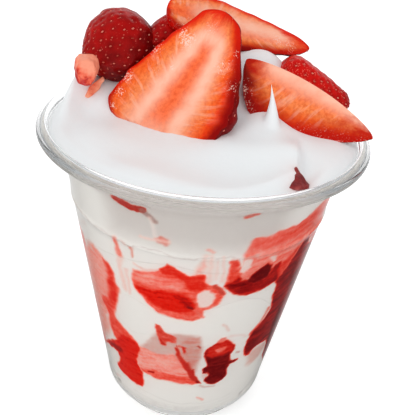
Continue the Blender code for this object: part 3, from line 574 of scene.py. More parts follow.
def turned_tree(material):
    """Geometry Nodes that turn an outline round the cup's axis."""
    tree, make, given = shape_tree("turned_shell", {"Segments": "Int", "Guide radius": "Float"})
    guide = make.out("GeometryNodeCurvePrimitiveCircle", "Curve", {
        "Resolution": given["Segments"], "Radius": given["Guide radius"]})
    outline = make.out("GeometryNodeMeshToCurve", "Curve", {"Mesh": given["Geometry"]})
    shell = make.out("GeometryNodeCurveToMesh", "Mesh", {"Curve": guide, "Profile Curve": outline})
    merged = make.out("GeometryNodeMergeByDistance", "Geometry", {"Geometry": shell, "Distance": 1e-6})
    finish_shape(make, merged, material)
    return tree


def make_cup(settings):
    """The clear shell with its foot ring, stacking ring, flare and lip."""
    material = clear_plastic(settings)
    outline = rounded(cup_outside() + cup_inside(), 2)
    guide = 0.01  # radius of the circle that carries the outline round
    points = [(radius - guide, -height, 0.0) for radius, height in outline]
    profile = bpy.data.meshes.new("cup_outline")
    profile.from_pydata(points, [(index, index + 1) for index in range(len(points) - 1)], [])
    inputs = {"Segments": settings.segments, "Guide radius": guide}
    mesh = run_tree("cup_outline", profile, turned_tree(material), inputs)
    return add_piece("clear_cup", mesh, material, ("cup",), sharp=40.0)


# ------ Filling ------

# How far the sauce's marks stray sideways and up, in mm, the waves of its layers, the tone and the dark
# spots of its back, and its fine streaks: layers of noise as (amount, size, seed).
MARKS_ASIDE = ((0.75, 5.0, 1), (0.40, 2.0, 2), (0.18, 0.8, 5))
MARKS_UP = ((0.65, 4.5, 3), (0.38, 1.7, 4), (0.18, 0.8, 6))
LAYER_WAVES = ((0.0035, 13.0, 7), (0.0016, 4.0, 8))
BACK_TONE = ((0.40, 9.0, 9), (0.16, 3.0, 10))
BACK_SPOTS = ((1.4, 7.0, 11),)
FINE_STREAKS = ((0.6, 1.0, 12), (0.4, 0.45, 13))
SIDE_START = 58.0  # degrees from the front where the marks give way to the two layers
SIDE_REACH = 8.0


def level_at(level, degrees):
    """Height of a layer's edge at the wall."""
    height = np.full(len(degrees), level[0])
    for middle, rise, width in level[1]:
        away = (degrees - middle + 180.0) % 360.0 - 180.0
        height += rise * np.exp(-((away / width) ** 2))
    return height


def wall_columns():
    """Angles of the filling's columns in degrees: fine at the front and coarser at the back."""
    front = np.arange(-FRONT_SPAN, FRONT_SPAN, FRONT_COLUMN)
    count = int((360.0 - 2.0 * FRONT_SPAN) / BACK_COLUMN)
    back = np.linspace(FRONT_SPAN, 360.0 - FRONT_SPAN, count, endpoint=False)
    return np.concatenate((front, back))


def around(radius, degrees, height):
    """Points at a radius and an angle from the front."""
    turn = np.radians(degrees)
    return np.stack(np.broadcast_arrays(radius * np.sin(turn), -radius * np.cos(turn), height), -1)


def outline_distance(across, up, outline):
    """Distance to an outline, positive inside it."""
    closed = outline + outline[:1]
    inside = np.zeros(len(across), bool)
    for (x0, y0), (x1, y1) in zip(closed, closed[1:]):
        if y0 != y1:
            inside ^= ((y0 > up) != (y1 > up)) & (across < x0 + (up - y0) * (x1 - x0) / (y1 - y0))
    nearest = path_distance(across, up, closed)
    return np.where(inside, nearest, -nearest)


def path_distance(across, up, path):
    """Distance to a path of straight runs."""
    nearest = np.full(len(across), np.inf)
    for (x0, y0), (x1, y1) in zip(path, path[1:]):
        run, rise = x1 - x0, y1 - y0
        share = np.clip(((across - x0) * run + (up - y0) * rise) / (run * run + rise * rise), 0.0, 1.0)
        nearest = np.minimum(nearest, np.hypot(across - x0 - share * run, up - y0 - share * rise))
    return nearest


def in_mm(path):
    """A path of (degrees, height) with its angles turned into millimetres along the wall."""
    return [(degrees * MM_PER_DEGREE, height) for degrees, height in path]


def sauce_of_layers(heights, degrees, place):
    """Redness and darkness round the back, where the sauce follows its two layers."""
    wave = layered_noise(place, LAYER_WAVES)
    behind = smoothstep((np.abs(degrees) - SIDE_START) / SIDE_REACH)
    red = np.zeros(len(heights))
    for low, high in ((LOWER_SAUCE_FLOOR, LOWER_SAUCE_TOP), (UPPER_SAUCE_FLOOR, UPPER_SAUCE_TOP)):
        over = heights + wave - level_at(low, degrees)
        under = level_at(high, degrees) - heights - wave
        red = np.maximum(red, smoothstep(np.minimum(over, under) / 0.0016 + 0.5))
    red *= behind * np.clip(0.62 + layered_noise(place, BACK_TONE), 0.2, 1.0)
    return red, behind * smoothstep(layered_noise(place, BACK_SPOTS) - 0.2) * red * 0.6


def sauce(points):
    """Redness and darkness of the filling behind the wall at rows of points."""
    points = np.asarray(points, float)
    degrees = np.degrees(np.arctan2(points[:, 0], -points[:, 1]))
    place = points / MM
    across = degrees * MM_PER_DEGREE + layered_noise(place, MARKS_ASIDE)
    up = place[:, 2] + layered_noise(place, MARKS_UP)
    red, dark = sauce_of_layers(points[:, 2], degrees, place)
    flow = np.stack((across * 0.16, up - 0.12 * across), -1)
    streak = layered_noise(flow, FINE_STREAKS)
    for outline, softness, redness, darkness, streaky in PATCHES:
        share = smoothstep(0.5 + outline_distance(across, up, in_mm(outline)) / softness)
        red = mix(red, np.clip(redness * (1.0 + 0.45 * streaky * streak), 0.0, 1.0), share)
        dark = mix(dark, darkness, share)
    for path, width, softness, redness, darkness in STREAKS:
        away = path_distance(across, up, in_mm(path))
        share = smoothstep((width - away) / softness + 0.5)
        red = mix(red, np.maximum(redness, red * 0.6), share)
        dark = mix(dark, darkness, share)
    return red, dark


def closed_rings(name, rings, low, high, painted=True):
    """A closed mesh from rings of points and a pole at each end, painted with the sauce or plain."""
    points = np.concatenate([*rings, [low, high]])
    first = np.arange(len(rings[0]))
    last = (len(rings) - 1) * len(first) + first
    caps = np.concatenate((fan_faces(len(points) - 2, first, True), fan_faces(len(points) - 1, last)))
    values = dict(zip(("red", "dark"), sauce(points))) if painted else None
    return new_mesh(name, points, [grid_faces(len(rings), len(first), True), caps], values)


LEVEL_SHARES = (0.45, 0.8)  # of the inside radius, where a level has its inner rings


def level_rings(level, degrees):
    """Inner rings of a wavy level. The waves die out towards the middle of the cup."""
    edge = level_at(level, degrees)
    rings = []
    for share in LEVEL_SHARES:
        height = level[0] + (edge - level[0]) * share * share
        rings.append(around((inside_radius(edge) + INTO_WALL) * share, degrees, height))
    return rings


def side_rings(low, high, degrees):
    """Rings up the wall between two heights, each given for every column."""
    count = max(2, int(np.ceil((high - low).max() / ROW_HEIGHT)) + 1)
    rings = []
    for share in np.linspace(0.0, 1.0, count):
        height = mix(low, high, share)
        rings.append(around(inside_radius(height) + INTO_WALL, degrees, height))
    return rings


# The layers over the cream at the bottom: name, floor, top, slot and node.
LAYERS = (
    ("crushed_strawberry_low", LOWER_SAUCE_FLOOR, LOWER_SAUCE_TOP, "crushed_strawberry",
     "strawberry_layer_lower"),
    ("cream_in_the_middle", LOWER_SAUCE_TOP, UPPER_SAUCE_FLOOR, "cream", "cream_middle"),
    ("crushed_strawberry_high", UPPER_SAUCE_FLOOR, UPPER_SAUCE_TOP, "crushed_strawberry",
     "strawberry_layer_upper"),
)


def make_layers(filling):
    """Cream at the bottom, the two layers of crushed strawberry and the cream between them."""
    degrees = wall_columns()
    base = [around(radius, degrees, height) for radius, height in FILLING_BASE]
    low = np.full(len(degrees), TAPER_LOW[1] + 0.0004)
    first = level_at(LOWER_SAUCE_FLOOR, degrees)
    rings = base + side_rings(low, first, degrees) + level_rings(LOWER_SAUCE_FLOOR, degrees)[::-1]
    mesh = closed_rings("cream_bottom", rings, (0, 0, FLOOR_HEIGHT - INTO_WALL), (0, 0, LOWER_SAUCE_FLOOR[0]))
    add_piece("cream_at_the_bottom", mesh, filling, ("cream_bottom",))
    for name, floor, top, slot, node in LAYERS:
        rings = level_rings(floor, degrees)
        rings += side_rings(level_at(floor, degrees), level_at(top, degrees), degrees)
        rings += level_rings(top, degrees)[::-1]
        mesh = closed_rings(name, rings, (0, 0, floor[0]), (0, 0, top[0]))
        add_piece(name, mesh, filling, (node,))


def make_wall_pieces(filling):
    """The pieces of strawberry pressed against the wall."""
    sides, steps = 96, 14
    for name, turn, height, half_width, half_height, depth, phase in WALL_PIECES:
        way = np.linspace(0.0, 2.0 * math.pi, sides, endpoint=False)
        uneven = 1.0 + 0.12 * np.sin(3.0 * way + phase) + 0.07 * np.cos(5.0 * way - phase)
        uneven += 0.025 * np.sin(11.0 * way + 2.0 * phase)
        rings = []
        shares = [(step / steps, 0.0) for step in range(1, steps + 1)]
        shares += [(1.0, 0.25 * depth), (0.86, 0.6 * depth), (0.5, 0.9 * depth)]
        for share, behind in shares:
            up = height + half_height * uneven * share * np.sin(way)
            radius = inside_radius(up) + PIECE_INTO_WALL - behind
            degrees = turn + np.degrees(half_width * uneven * share * np.cos(way) / inside_radius(height))
            rings.append(around(radius, degrees, up))
        near = around(inside_radius(height) + PIECE_INTO_WALL, turn, height)
        far = around(inside_radius(height) - depth, turn, height)
        mesh = closed_rings(name, rings, near, far)
        add_piece(name.replace("strawberry_wall", "fruit_at_the_wall"), mesh, filling,
                  (name,), sharp=40.0)


# ------ Strawberries ------

def berry_width(share, shape):
    """Half width of a strawberry along its length, from 0 at the stem end to 1 at the tip."""
    shoulder, widest, tip, power, rounding = shape
    grow = (1.0 - (1.0 - np.minimum(share / widest, 1.0)) ** shoulder) ** (1.0 / shoulder)
    taper = 1.0 - (1.0 - tip) * (np.maximum(share - widest, 0.0) / (1.0 - widest)) ** power
    end = np.maximum(share - rounding, 0.0) / (1.0 - rounding)
    return grow * taper * np.sqrt(np.maximum(1.0 - end * end, 0.0))


class Berry:
    """A strawberry or a cut piece of one: where it lies, its size and how it is cut.

    stem and point are the ends of its axis and face is the way its cut face looks. width and depth are
    its half sizes along and behind that face. wedge is the angle in degrees that a slice spans behind
    its face: 360 for a whole berry, 180 for a half. lean bends it sideways, full makes its right side
    wider behind the face than at it and its back flatter near the stem end, slope slants its stem end
    and crest bows a slice's ridge outward.
    band is the distance of a half's pale bands from its middle, ripe darkens its skin, rough makes its
    outline uneven and wet_glints lists moist places of the cut face that get painted highlights, pale glints,
    as (along, across, reach, strength) in mm.
    """

    def __init__(self, node, name, stem, point, face, width, depth, wedge, seeds, shape,
                 lean=0.0, full=0.0, slope=0.0, crest=0.0, band=0.0, ripe=0.0, rough=0.0, wet_glints=()):
        self.node, self.name = node, name
        self.stem, self.point = np.array(stem), np.array(point)
        self.length = np.linalg.norm(self.point - self.stem)
        self.axis = (self.point - self.stem) / self.length
        front = np.array(face) - np.dot(face, self.axis) * self.axis
        self.front = front / np.linalg.norm(front)
        self.side = np.cross(self.front, self.axis)
        self.width, self.depth = width, depth
        self.wedge, self.seeds, self.shape = wedge, seeds, shape
        self.lean, self.full, self.slope, self.crest = lean, full, slope, crest
        self.band, self.ripe, self.rough, self.wet_glints = band, ripe, rough, wet_glints

    def local(self, share, turn, lift=0.0):
        """Distances along the axis, across it and out of the face, of a point of the skin."""
        width = berry_width(share, self.shape)
        radius = 2.0 * np.sqrt(np.maximum(share * (1.0 - share), 0.0))
        lobes = 1.0 + LOBES * (np.cos(3.0 * turn + 1.0 + 2.0 * share) + np.cos(5.0 * turn - 4.0 * share))
        bumps = np.sin(21.0 * share + 2.0 * turn) + 0.8 * np.sin(34.0 * share - 5.0 * turn + 1.3)
        lobes = lobes + self.rough * (bumps + 0.7 * np.sin(55.0 * share + 3.0 * turn + 0.4))
        full = 1.0 + 2.0 * self.full * np.abs(np.sin(turn)) * (np.cos(turn) < 0.0)
        full = 1.0 + (full - 1.0) * smoothstep((0.80 - share) / 0.4) * smoothstep((share - 0.10) / 0.3)
        across = (self.width * width * lobes * full + lift * radius) * np.cos(turn)
        flat = 1.0 - 0.5 * (self.full > 0.0) * (1.0 - smoothstep(share / 0.35))
        deep = (self.depth * width * lobes * flat + lift * radius) * np.sin(turn)
        ends = self.length * share - lift * (1.0 - 2.0 * share) + self.slope * across * (1.0 - share)
        return ends, across + self.lean * np.sin(math.pi * share), deep

    def world(self, ends, across, deep):
        """Points from distances along the axis, across it and out of the face."""
        ends, across, deep = np.broadcast_arrays(ends, across, deep)
        return (self.stem + ends[..., None] * self.axis + across[..., None] * self.side
                + deep[..., None] * self.front)

    def face_normal(self, last):
        """Which way the first or the last of its cut faces looks."""
        turn = math.radians(self.wedge) - math.pi if last else 0.0
        return self.front * math.cos(turn) - self.side * math.sin(turn)

    def ridge(self, share):
        """Distances of the edge between the two cut faces of a slice."""
        across = self.lean * np.sin(math.pi * share)
        return self.length * share, across + self.crest * np.sqrt(4.0 * share * (1.0 - share)), 0.0 * share


# Width of each kind of strawberry along its length: roundness of the shoulder, place of the widest
# point, width at the tip, straightness of the taper and where the tip begins to round off.
BLUNT = (2.6, 0.21, 0.27, 1.60, 0.93)
ROUND = (2.0, 0.42, 0.45, 1.50, 0.62)
STRAIGHT = (2.2, 0.20, 0.34, 1.05, 0.84)
LONG = (2.2, 0.30, 0.06, 1.50, 0.93)
SLANT = (2.2, 0.30, 0.30, 1.50, 0.86)

# Each: node, name, stem end, tip, way of the face, half width, half depth, wedge, seeds and kind.
BERRIES = (
    Berry("strawberry_front_half", "front_half", (-0.0159, -0.0129, 0.1022), (0.0028, 0.0022, 0.1348),
          (-0.39, -0.74, 0.56), 0.0184, 0.0100, 180, 150, BLUNT,
          lean=-0.0006, full=0.17, slope=-0.15, band=6.0, ripe=0.8, rough=0.013,
          wet_glints=((28.6, 5.5, 2.4, 1.0), (29.8, 7.8, 1.6, 0.9), (20.1, 5.0, 0.9, 1.0), (11.2, 16.2, 1.7, 0.9),
               (6.4, 15.8, 1.7, 0.8), (1.9, 15.1, 1.6, 0.6), (32.1, -10.0, 0.9, 0.8),
               (27.1, -8.2, 2.6, 0.55), (23.9, -14.0, 2.0, 0.45), (22.0, 13.0, 2.6, 0.5),
               (17.0, 9.5, 2.2, 0.3), (34.5, 1.0, 2.4, 0.4))),
    Berry("strawberry_right_slice", "right_slice", (0.0098, -0.0026, 0.1235), (0.0482, -0.0090, 0.1060),
          (-0.20, -0.80, 0.50), 0.0150, 0.0105, 70, 300, LONG,
          lean=0.0010, slope=-0.30, crest=0.0030, ripe=0.6, rough=0.006,
          wet_glints=((3.0, -8.0, 3.0, 0.6), (6.0, -12.0, 3.0, 0.6), (24.0, -8.0, 2.4, 0.2),
               (30.0, -7.0, 3.0, 0.26), (35.0, -5.0, 2.4, 0.26), (40.0, -2.0, 1.8, 0.2))),
    Berry("strawberry_top_slice", "top_slice", (-0.0142, 0.0135, 0.1318), (0.0308, 0.0222, 0.1213),
          (-0.05, -0.62, 0.78), 0.0082, 0.0075, 180, 150, SLANT, band=1.6, ripe=0.7, rough=0.012,
          wet_glints=((36.0, 0.0, 2.4, 0.6), (40.0, -1.0, 2.4, 0.5), (6.0, -4.0, 3.0, 0.4))),
    Berry("strawberry_left", "left_berry", (-0.0200, 0.0190, 0.1219), (-0.0370, 0.0040, 0.1159),
          (-0.2, -0.9, 0.5), 0.0114, 0.0112, 360, 210, ROUND, ripe=0.9, rough=0.009),
    Berry("strawberry_back_left", "back_left_berry", (-0.0075, 0.0270, 0.1190), (-0.0185, 0.0090, 0.1225),
          (0.0, 0.0, 1.0), 0.0080, 0.0080, 360, 110, ROUND, ripe=0.9, rough=0.006),
    Berry("strawberry_right_back", "right_back_berry", (0.0205, 0.0130, 0.1150), (0.0448, 0.0125, 0.1068),
          (-0.1, -0.5, 0.8), 0.0084, 0.0078, 360, 150, STRAIGHT, ripe=0.1, rough=0.008),
)

ONE_BAND = 3.0  # a half with bands nearer its middle than this, in mm, shows only one of them
EDGE_ROUNDING = 0.00024  # how far the rim of a cut face lies behind it
DIMPLE_DEPTH = 0.00028
DIMPLE_RADIUS = 0.00090
SKIN_STEP = 0.00045  # distance between the points of the skin
CUT_STEP = 0.00032
# Small unevenness of skin, cut faces and torn pieces, as layers of noise (amount, size, seed).
SKIN_RELIEF = ((0.00012, 0.0045, 23), (0.00006, 0.0016, 24))
CUT_RELIEF = ((0.00016, 0.0030, 25), (0.00006, 0.0011, 26))
TORN_RELIEF = ((0.00030, 0.0022, 31), (0.00014, 0.0009, 32))
SHADE_TILT = 0.42  # painted shade: how much deeper red a strawberry's skin is on its shaded side
# Values that a strawberry's points carry for its materials.
VALUES = ("cut", "dimple", "share", "pale", "core", "rim", "fibre", "edge", "deep", "wet_glints")


def seed_places(berry):
    """Share along the axis and turn round it of each seed on the kept skin."""
    index = np.arange(berry.seeds)
    z = 1.0 - 2.0 * (index + 0.5) / berry.seeds
    turn = (index * math.pi * (3.0 - math.sqrt(5.0)) + math.pi) % (2.0 * math.pi) - math.pi
    jitter = np.stack((index, index * 0.37), -1)
    turn = turn + 0.10 * lattice_noise(jitter, 0.73, 21)
    share = np.clip((1.0 - z) / 2.0 + 0.008 * lattice_noise(jitter, 0.61, 22), 0.01, 0.99)
    if berry.wedge < 360:
        margin = 0.0011 / berry.width
        end = math.radians(berry.wedge) - math.pi
        keep = (turn > -math.pi + margin) & (turn < end - margin)
        share, turn = share[keep], turn[keep]
    return share, turn


def row_shares(rows):
    """Shares along the axis of rows that lie closer together towards both ends."""
    return (1.0 - np.cos(np.linspace(0.0, math.pi, rows + 2)[1:-1])) / 2.0


def skin_grid(berry):
    """The kept skin as a grid over share and turn, with seed dimples: its points, their values, its rows."""
    rows = max(24, int(berry.length * 1.25 / SKIN_STEP)) - 1
    girth = math.pi * (berry.width + berry.depth) * berry.wedge / 360.0
    columns = max(24, int(girth / SKIN_STEP))
    whole = berry.wedge == 360
    start, end = -math.pi, math.radians(berry.wedge) - math.pi
    turns = np.linspace(start, end, columns, endpoint=not whole)
    share, turn = np.meshgrid(row_shares(rows), turns, indexing="ij")
    share, turn = share.ravel(), turn.ravel()
    points = berry.world(*berry.local(share, turn))
    nearest = np.full(len(points), np.inf)
    for seed in berry.world(*berry.local(*seed_places(berry))):
        nearest = np.minimum(nearest, np.linalg.norm(points - seed, axis=1))
    dimple = np.exp(-((nearest / DIMPLE_RADIUS) ** 2))
    edge = np.ones(len(points))
    near_cut = np.zeros(len(points))
    if not whole:
        to_cut = np.minimum(turn - start, end - turn) * berry.width * berry_width(share, berry.shape)
        edge = smoothstep(to_cut / 0.0012)
        # Beside a cut the skin is brighter red: partly the thin skin's own colour and partly painted light,
        # as it shows only on the lit side.
        near_cut = np.exp(-to_cut / 0.0014) * (1.0 - smoothstep(berry.ripe - SHADE_TILT * np.cos(turn)))
    lift = (0.5 * DIMPLE_DEPTH - DIMPLE_DEPTH * dimple + layered_noise(points, SKIN_RELIEF)) * edge
    points = berry.world(*berry.local(share, turn, lift))
    if not whole:
        grid = points.reshape(rows, columns, 3)
        grid[:, 0] -= EDGE_ROUNDING * berry.face_normal(False)
        grid[:, -1] -= EDGE_ROUNDING * berry.face_normal(True)
    # deep carries the skin's ripeness together with its painted shade.
    values = {"dimple": dimple, "share": share, "edge": near_cut, "deep": ripeness_and_shade(berry, points)}
    return points, values, rows


def cut_grid(first, second, rows, columns):
    """Share along and across of each point between two edges of a cut face, and where it lies."""
    part = row_shares(rows)
    across = np.linspace(0.0, 1.0, columns)
    place = [mix(low[:, None], high[:, None], across).ravel() for low, high in zip(first(part), second(part))]
    return np.repeat(part, columns), np.tile(across, rows), place


def ripeness_and_shade(berry, points):
    """How deep the red of the skin is: its ripeness, with painted shade that makes it deepest below
    and at the right.
    """
    middle = 0.5 * (berry.stem + berry.point)
    return berry.ripe - SHADE_TILT * (points - middle) @ np.array((-0.62, -0.25, 0.74)) / berry.width


def cut_paleness(berry, part, middle, way, width):
    """Where a cut face is pale: one band or two on a half, the whole upper side on a slice."""
    if berry.wedge != 180:
        return smoothstep((0.36 - middle) / 0.34) * smoothstep((part - 0.04) / 0.16)
    if berry.band < ONE_BAND:
        away = (middle * way * width / MM - berry.band) / mix(3.4, 2.6, part)
        ends = (1.0 - smoothstep((part - 0.76) / 0.16)) * smoothstep((part - 0.10) / 0.16)
        return np.exp(-(away**2)) * ends
    away = (middle * width / MM - berry.band * (1.0 - part**3)) / mix(3.2, 1.9, part)
    foot = 0.75 * np.exp(-((part / 0.13) ** 2)) * smoothstep((0.80 - middle) / 0.3)
    head = 0.9 * np.exp(-(((part - 0.80) / 0.07) ** 2)) * smoothstep((0.62 - middle) / 0.5)
    end = 1.0 - smoothstep((part - 0.78) / 0.12)
    return np.maximum(np.maximum(np.exp(-(away**2)), foot) * end, head)


def cut_redness(berry, part, middle, way):
    """How far the skin's red reaches into a cut face, and how dark it is.

    Both are largest at the right side and the tip of a half, and at the stem end of a slice. A half with
    two pale bands also has a dark lower left corner.
    """
    if berry.wedge != 180:
        end = np.exp(-((part / 0.22) ** 2)) * smoothstep((middle - 0.25) / 0.35)
        return 1.5 + 1.5 * end, 0.42 + 0.55 * end
    side = (way < 0.0) * np.clip(1.3 * np.exp(-(((part - 0.40) / 0.40) ** 2)), 0.0, 1.0)
    corner = (way > 0.0) * (berry.band > ONE_BAND) * (1.0 - smoothstep((part - 0.14) / 0.14))
    reach = np.maximum(np.maximum(0.5 * side, 0.75 * smoothstep((part - 0.7) / 0.2)), 0.12 * corner)
    return 0.12 + reach, np.maximum(0.9 * side, 0.5 * corner)


def cut_face(berry, first, second, rows):
    """A cut face between two edges, or its part beside a slice's ridge: its points and their values."""
    half = berry.wedge == 180
    columns = max(8, int(berry.width * (2.0 if half else 1.2) / CUT_STEP))
    part, across, (ends, over, deep) = cut_grid(first, second, rows, columns)
    if half:
        middle, way = np.abs(2.0 * across - 1.0), np.sign(2.0 * across - 1.0)
        tone = middle * np.where(way > 0.0, 0.80, 1.0)
    else:
        middle, way = 1.0 - across if second == berry.ridge else across, np.ones(len(part))
        tone = 1.10 * middle
    width = berry.width * berry_width(part, berry.shape)
    tip = np.minimum(part, 1.0 - part) * berry.length
    reach, redness = cut_redness(berry, part, middle, way)
    rim = np.minimum((1.0 - middle) * width, tip) / MM / (0.8 + 2.3 * reach)

    points = berry.world(ends, over, deep)
    groove = -0.00022 * np.exp(-((middle / 0.10) ** 2)) * smoothstep(0.8 - part) * half
    relief = (layered_noise(points, CUT_RELIEF) + groove) * smoothstep(rim / 0.8)
    rounding = EDGE_ROUNDING * (1.0 - smoothstep(rim / 0.9)) ** 2
    seam = 1.0 if half else smoothstep(middle / 0.08)
    points = points + ((relief - rounding) * seam)[:, None] * berry.face_normal(first == berry.ridge)

    # Where the cut face gets painted highlights, pale glints at its moist places.
    wet_glints = np.zeros(len(part))
    for along, beside, spread, strength in berry.wet_glints:
        away = np.hypot(ends / MM - along, over / MM - beside)
        wet_glints = np.maximum(wet_glints, strength * np.exp(-((away / spread) ** 2)))
    slant = 0.45 if half else -0.35
    fan = ends - slant * middle * berry.width - 0.25 * middle**2 * (ends - 0.45 * berry.length)
    fibre = np.stack((middle * berry.width, fan, way * 0.004), -1) / MM
    return points, {"cut": np.ones(len(part)), "share": part, "core": tone, "rim": rim, "fibre": fibre,
                    "pale": cut_paleness(berry, part, middle, way, width), "deep": redness, "wet_glints": wet_glints}


def end_fan(pole, row, closed, turned=False):
    """Triangles from an end of the axis to a row of points."""
    if closed:
        return fan_faces(pole, row, turned)
    return np.stack((np.full(len(row) - 1, pole), row[:-1], row[1:]), -1)


def berry_mesh(berry):
    """The closed mesh of a strawberry or a piece of one, with values for its skin and its cut faces."""
    skin, skin_values, rows = skin_grid(berry)
    whole = berry.wedge == 360
    groups = [(skin, skin_values)]
    if not whole:
        turns = (-math.pi, math.radians(berry.wedge) - math.pi)
        edges = [lambda part, turn=turn: berry.local(part, np.full(len(part), turn)) for turn in turns]
        edges[1:1] = [] if berry.wedge == 180 else [berry.ridge]
        groups += [cut_face(berry, first, second, rows) for first, second in zip(edges, edges[1:])]

    faces, caps = [], []
    base, total = 0, sum(len(points) for points, _ in groups)
    for points, _ in groups:
        columns = len(points) // rows
        first = base + np.arange(columns)
        last = first + (rows - 1) * columns
        faces.append(grid_faces(rows, columns, whole) + base)
        caps += [end_fan(total, first, whole, True), end_fan(total + 1, last, whole)]
        base += len(points)

    ends = berry.world(np.array([0.0, berry.length]), np.zeros(2), np.zeros(2))
    groups.append((ends, {"share": np.array([0.0, 1.0]), "deep": np.full(2, berry.ripe)}))
    values = {}
    for key in VALUES:
        blank = np.zeros(3) if key == "fibre" else 0.0
        values[key] = np.concatenate([given.get(key, np.full((len(points), *np.shape(blank)), blank))
                                      for points, given in groups])
    points = np.concatenate([points for points, _ in groups])
    mesh = new_mesh(berry.name, points, faces + [np.concatenate(caps)], values)
    weld(mesh)
    return mesh


def weld(mesh):
    """Joins the edges of grids that meet."""
    made = bmesh.new()
    made.from_mesh(mesh)
    bmesh.ops.remove_doubles(made, verts=made.verts, dist=0.00002)
    bmesh.ops.dissolve_degenerate(made, dist=0.000001, edges=made.edges)
    made.to_mesh(mesh)
    made.free()


def seed_tree(material):
    """Geometry Nodes that set a seed on every point, flat on the skin and along the berry."""
    tree, make, given = shape_tree("strawberry_seeds", {
        "Seed size": "Vector", "Unevenness": "Float", "Random seed": "Int"})
    ball = make.out("GeometryNodeMeshUVSphere", "Mesh", {"Segments": 8, "Rings": 5, "Radius": 1.0})
    grain = make.out("GeometryNodeTransform", "Geometry", {"Geometry": ball, "Scale": given["Seed size"]})
    outward, along = (make.out("GeometryNodeInputNamedAttribute", "Attribute", {"Name": name},
                               data_type="FLOAT_VECTOR") for name in ("outward", "along"))
    upright = make.out("FunctionNodeAlignRotationToVector", "Rotation", {"Vector": outward}, axis="Z")
    turned = make.out("FunctionNodeAlignRotationToVector", "Rotation", {
        "Rotation": upright, "Vector": along}, axis="Y", pivot_axis="Z")
    size = make.out("FunctionNodeRandomValue", 1, {
        2: make.minus(1.0, given["Unevenness"]), 3: make.plus(1.0, given["Unevenness"]),
        "Seed": given["Random seed"]}, data_type="FLOAT")
    placed = make.out("GeometryNodeInstanceOnPoints", "Instances", {
        "Points": given["Geometry"], "Instance": grain, "Rotation": turned, "Scale": size})
    finish_shape(make, placed, material)
    return tree


def seed_frames(berry):
    """Place of each seed of a strawberry, lying in its dimple, and which way its skin looks there."""
    share, turn = seed_places(berry)
    here = berry.world(*berry.local(share, turn, -0.45 * DIMPLE_DEPTH))
    ahead = berry.world(*berry.local(np.minimum(share + 0.02, 0.999), turn))
    beside = berry.world(*berry.local(share, turn + 0.05))
    normal = np.cross(ahead - here, beside - here)
    normal /= np.linalg.norm(normal, axis=1, keepdims=True)
    away = berry.world(*berry.local(share, turn, 0.001)) - here
    return here, normal * np.sign((normal * away).sum(1, keepdims=True))


def make_seeds(settings, material):
    """The seeds of all the strawberries, each along its berry."""
    frames = [seed_frames(berry) for berry in BERRIES]
    places = np.concatenate([here for here, _ in frames])
    outward = np.concatenate([normal for _, normal in frames])
    along = np.concatenate([np.tile(berry.axis, (len(here), 1)) for berry, (here, _) in zip(BERRIES, frames)])
    points = bpy.data.meshes.new("seed_places")
    points.from_pydata(places.tolist(), [], [])
    store(points, {"outward": outward, "along": along})
    inputs = {"Seed size": tuple(settings.seed_size), "Unevenness": settings.seed_unevenness,
              "Random seed": settings.random_seed}
    mesh = run_tree("seed_places", points, seed_tree(material), inputs)
    add_piece("strawberry_seeds", mesh, material)


def make_berries(materials):
    """The halves, slices and whole strawberries on top."""
    made = []
    for berry in BERRIES:
        material = materials["skin"] if berry.wedge == 360 else materials["flesh"]
        made.append(add_piece(berry.name, berry_mesh(berry), material, (berry.node,), sharp=38.0))
    return made


# Torn pieces: node, name and the corners between which each lies, in millimetres.
TORN_PIECES = (
    ("strawberry_chunk", "torn_chunk", (
        (-39.3, 2.5, 117.9), (-38.3, 3.1, 119.0), (-36.2, 2.7, 118.5), (-34.2, 3.1, 119.1),
        (-32.4, 2.4, 118.0), (-31.8, 1.0, 115.9), (-32.0, 0.2, 114.4), (-33.3, -0.5, 113.2),
        (-34.0, -1.6, 111.5), (-35.1, -1.9, 110.9), (-37.8, -1.4, 111.6), (-39.2, -0.1, 113.7),
        (-39.5, 1.4, 116.2), (-37.2, -1.0, 118.2), (-33.4, -1.0, 118.3), (-32.5, -2.4, 116.0),
        (-35.7, -3.7, 114.0), (-37.7, -2.6, 115.8), (-38.5, 5.0, 116.5), (-34.0, 5.2, 116.8),
        (-34.5, 2.8, 112.5), (-37.8, 3.0, 113.0))),
    ("strawberry_flake", "torn_flake", (
        (-36.4, -0.6, 106.5), (-35.2, 1.3, 109.7), (-33.0, 2.3, 111.4), (-31.4, 3.0, 112.5),
        (-31.0, 2.5, 111.8), (-32.0, 1.3, 109.7), (-33.3, 0.3, 108.1), (-34.9, -0.4, 106.9),
        (-35.5, 2.5, 109.2), (-33.2, 3.5, 111.0), (-31.6, 4.2, 112.1), (-32.2, 2.4, 109.3),
        (-33.5, 1.4, 107.6), (-35.2, 0.7, 106.5))),
    ("strawberry_rim_piece", "torn_piece_at_the_rim", (
        (23.9, -31.4, 106.4), (25.4, -32.9, 105.2), (26.4, -33.6, 104.2), (27.6, -34.2, 102.9),
        (27.1, -36.0, 102.6), (24.6, -37.9, 103.3), (21.9, -38.3, 103.5), (23.0, -36.0, 104.3),
        (23.4, -33.4, 105.4), (24.0, -34.0, 100.6), (27.0, -32.6, 100.6), (23.5, -28.5, 103.5),
        (27.3, -29.5, 101.5))),
)


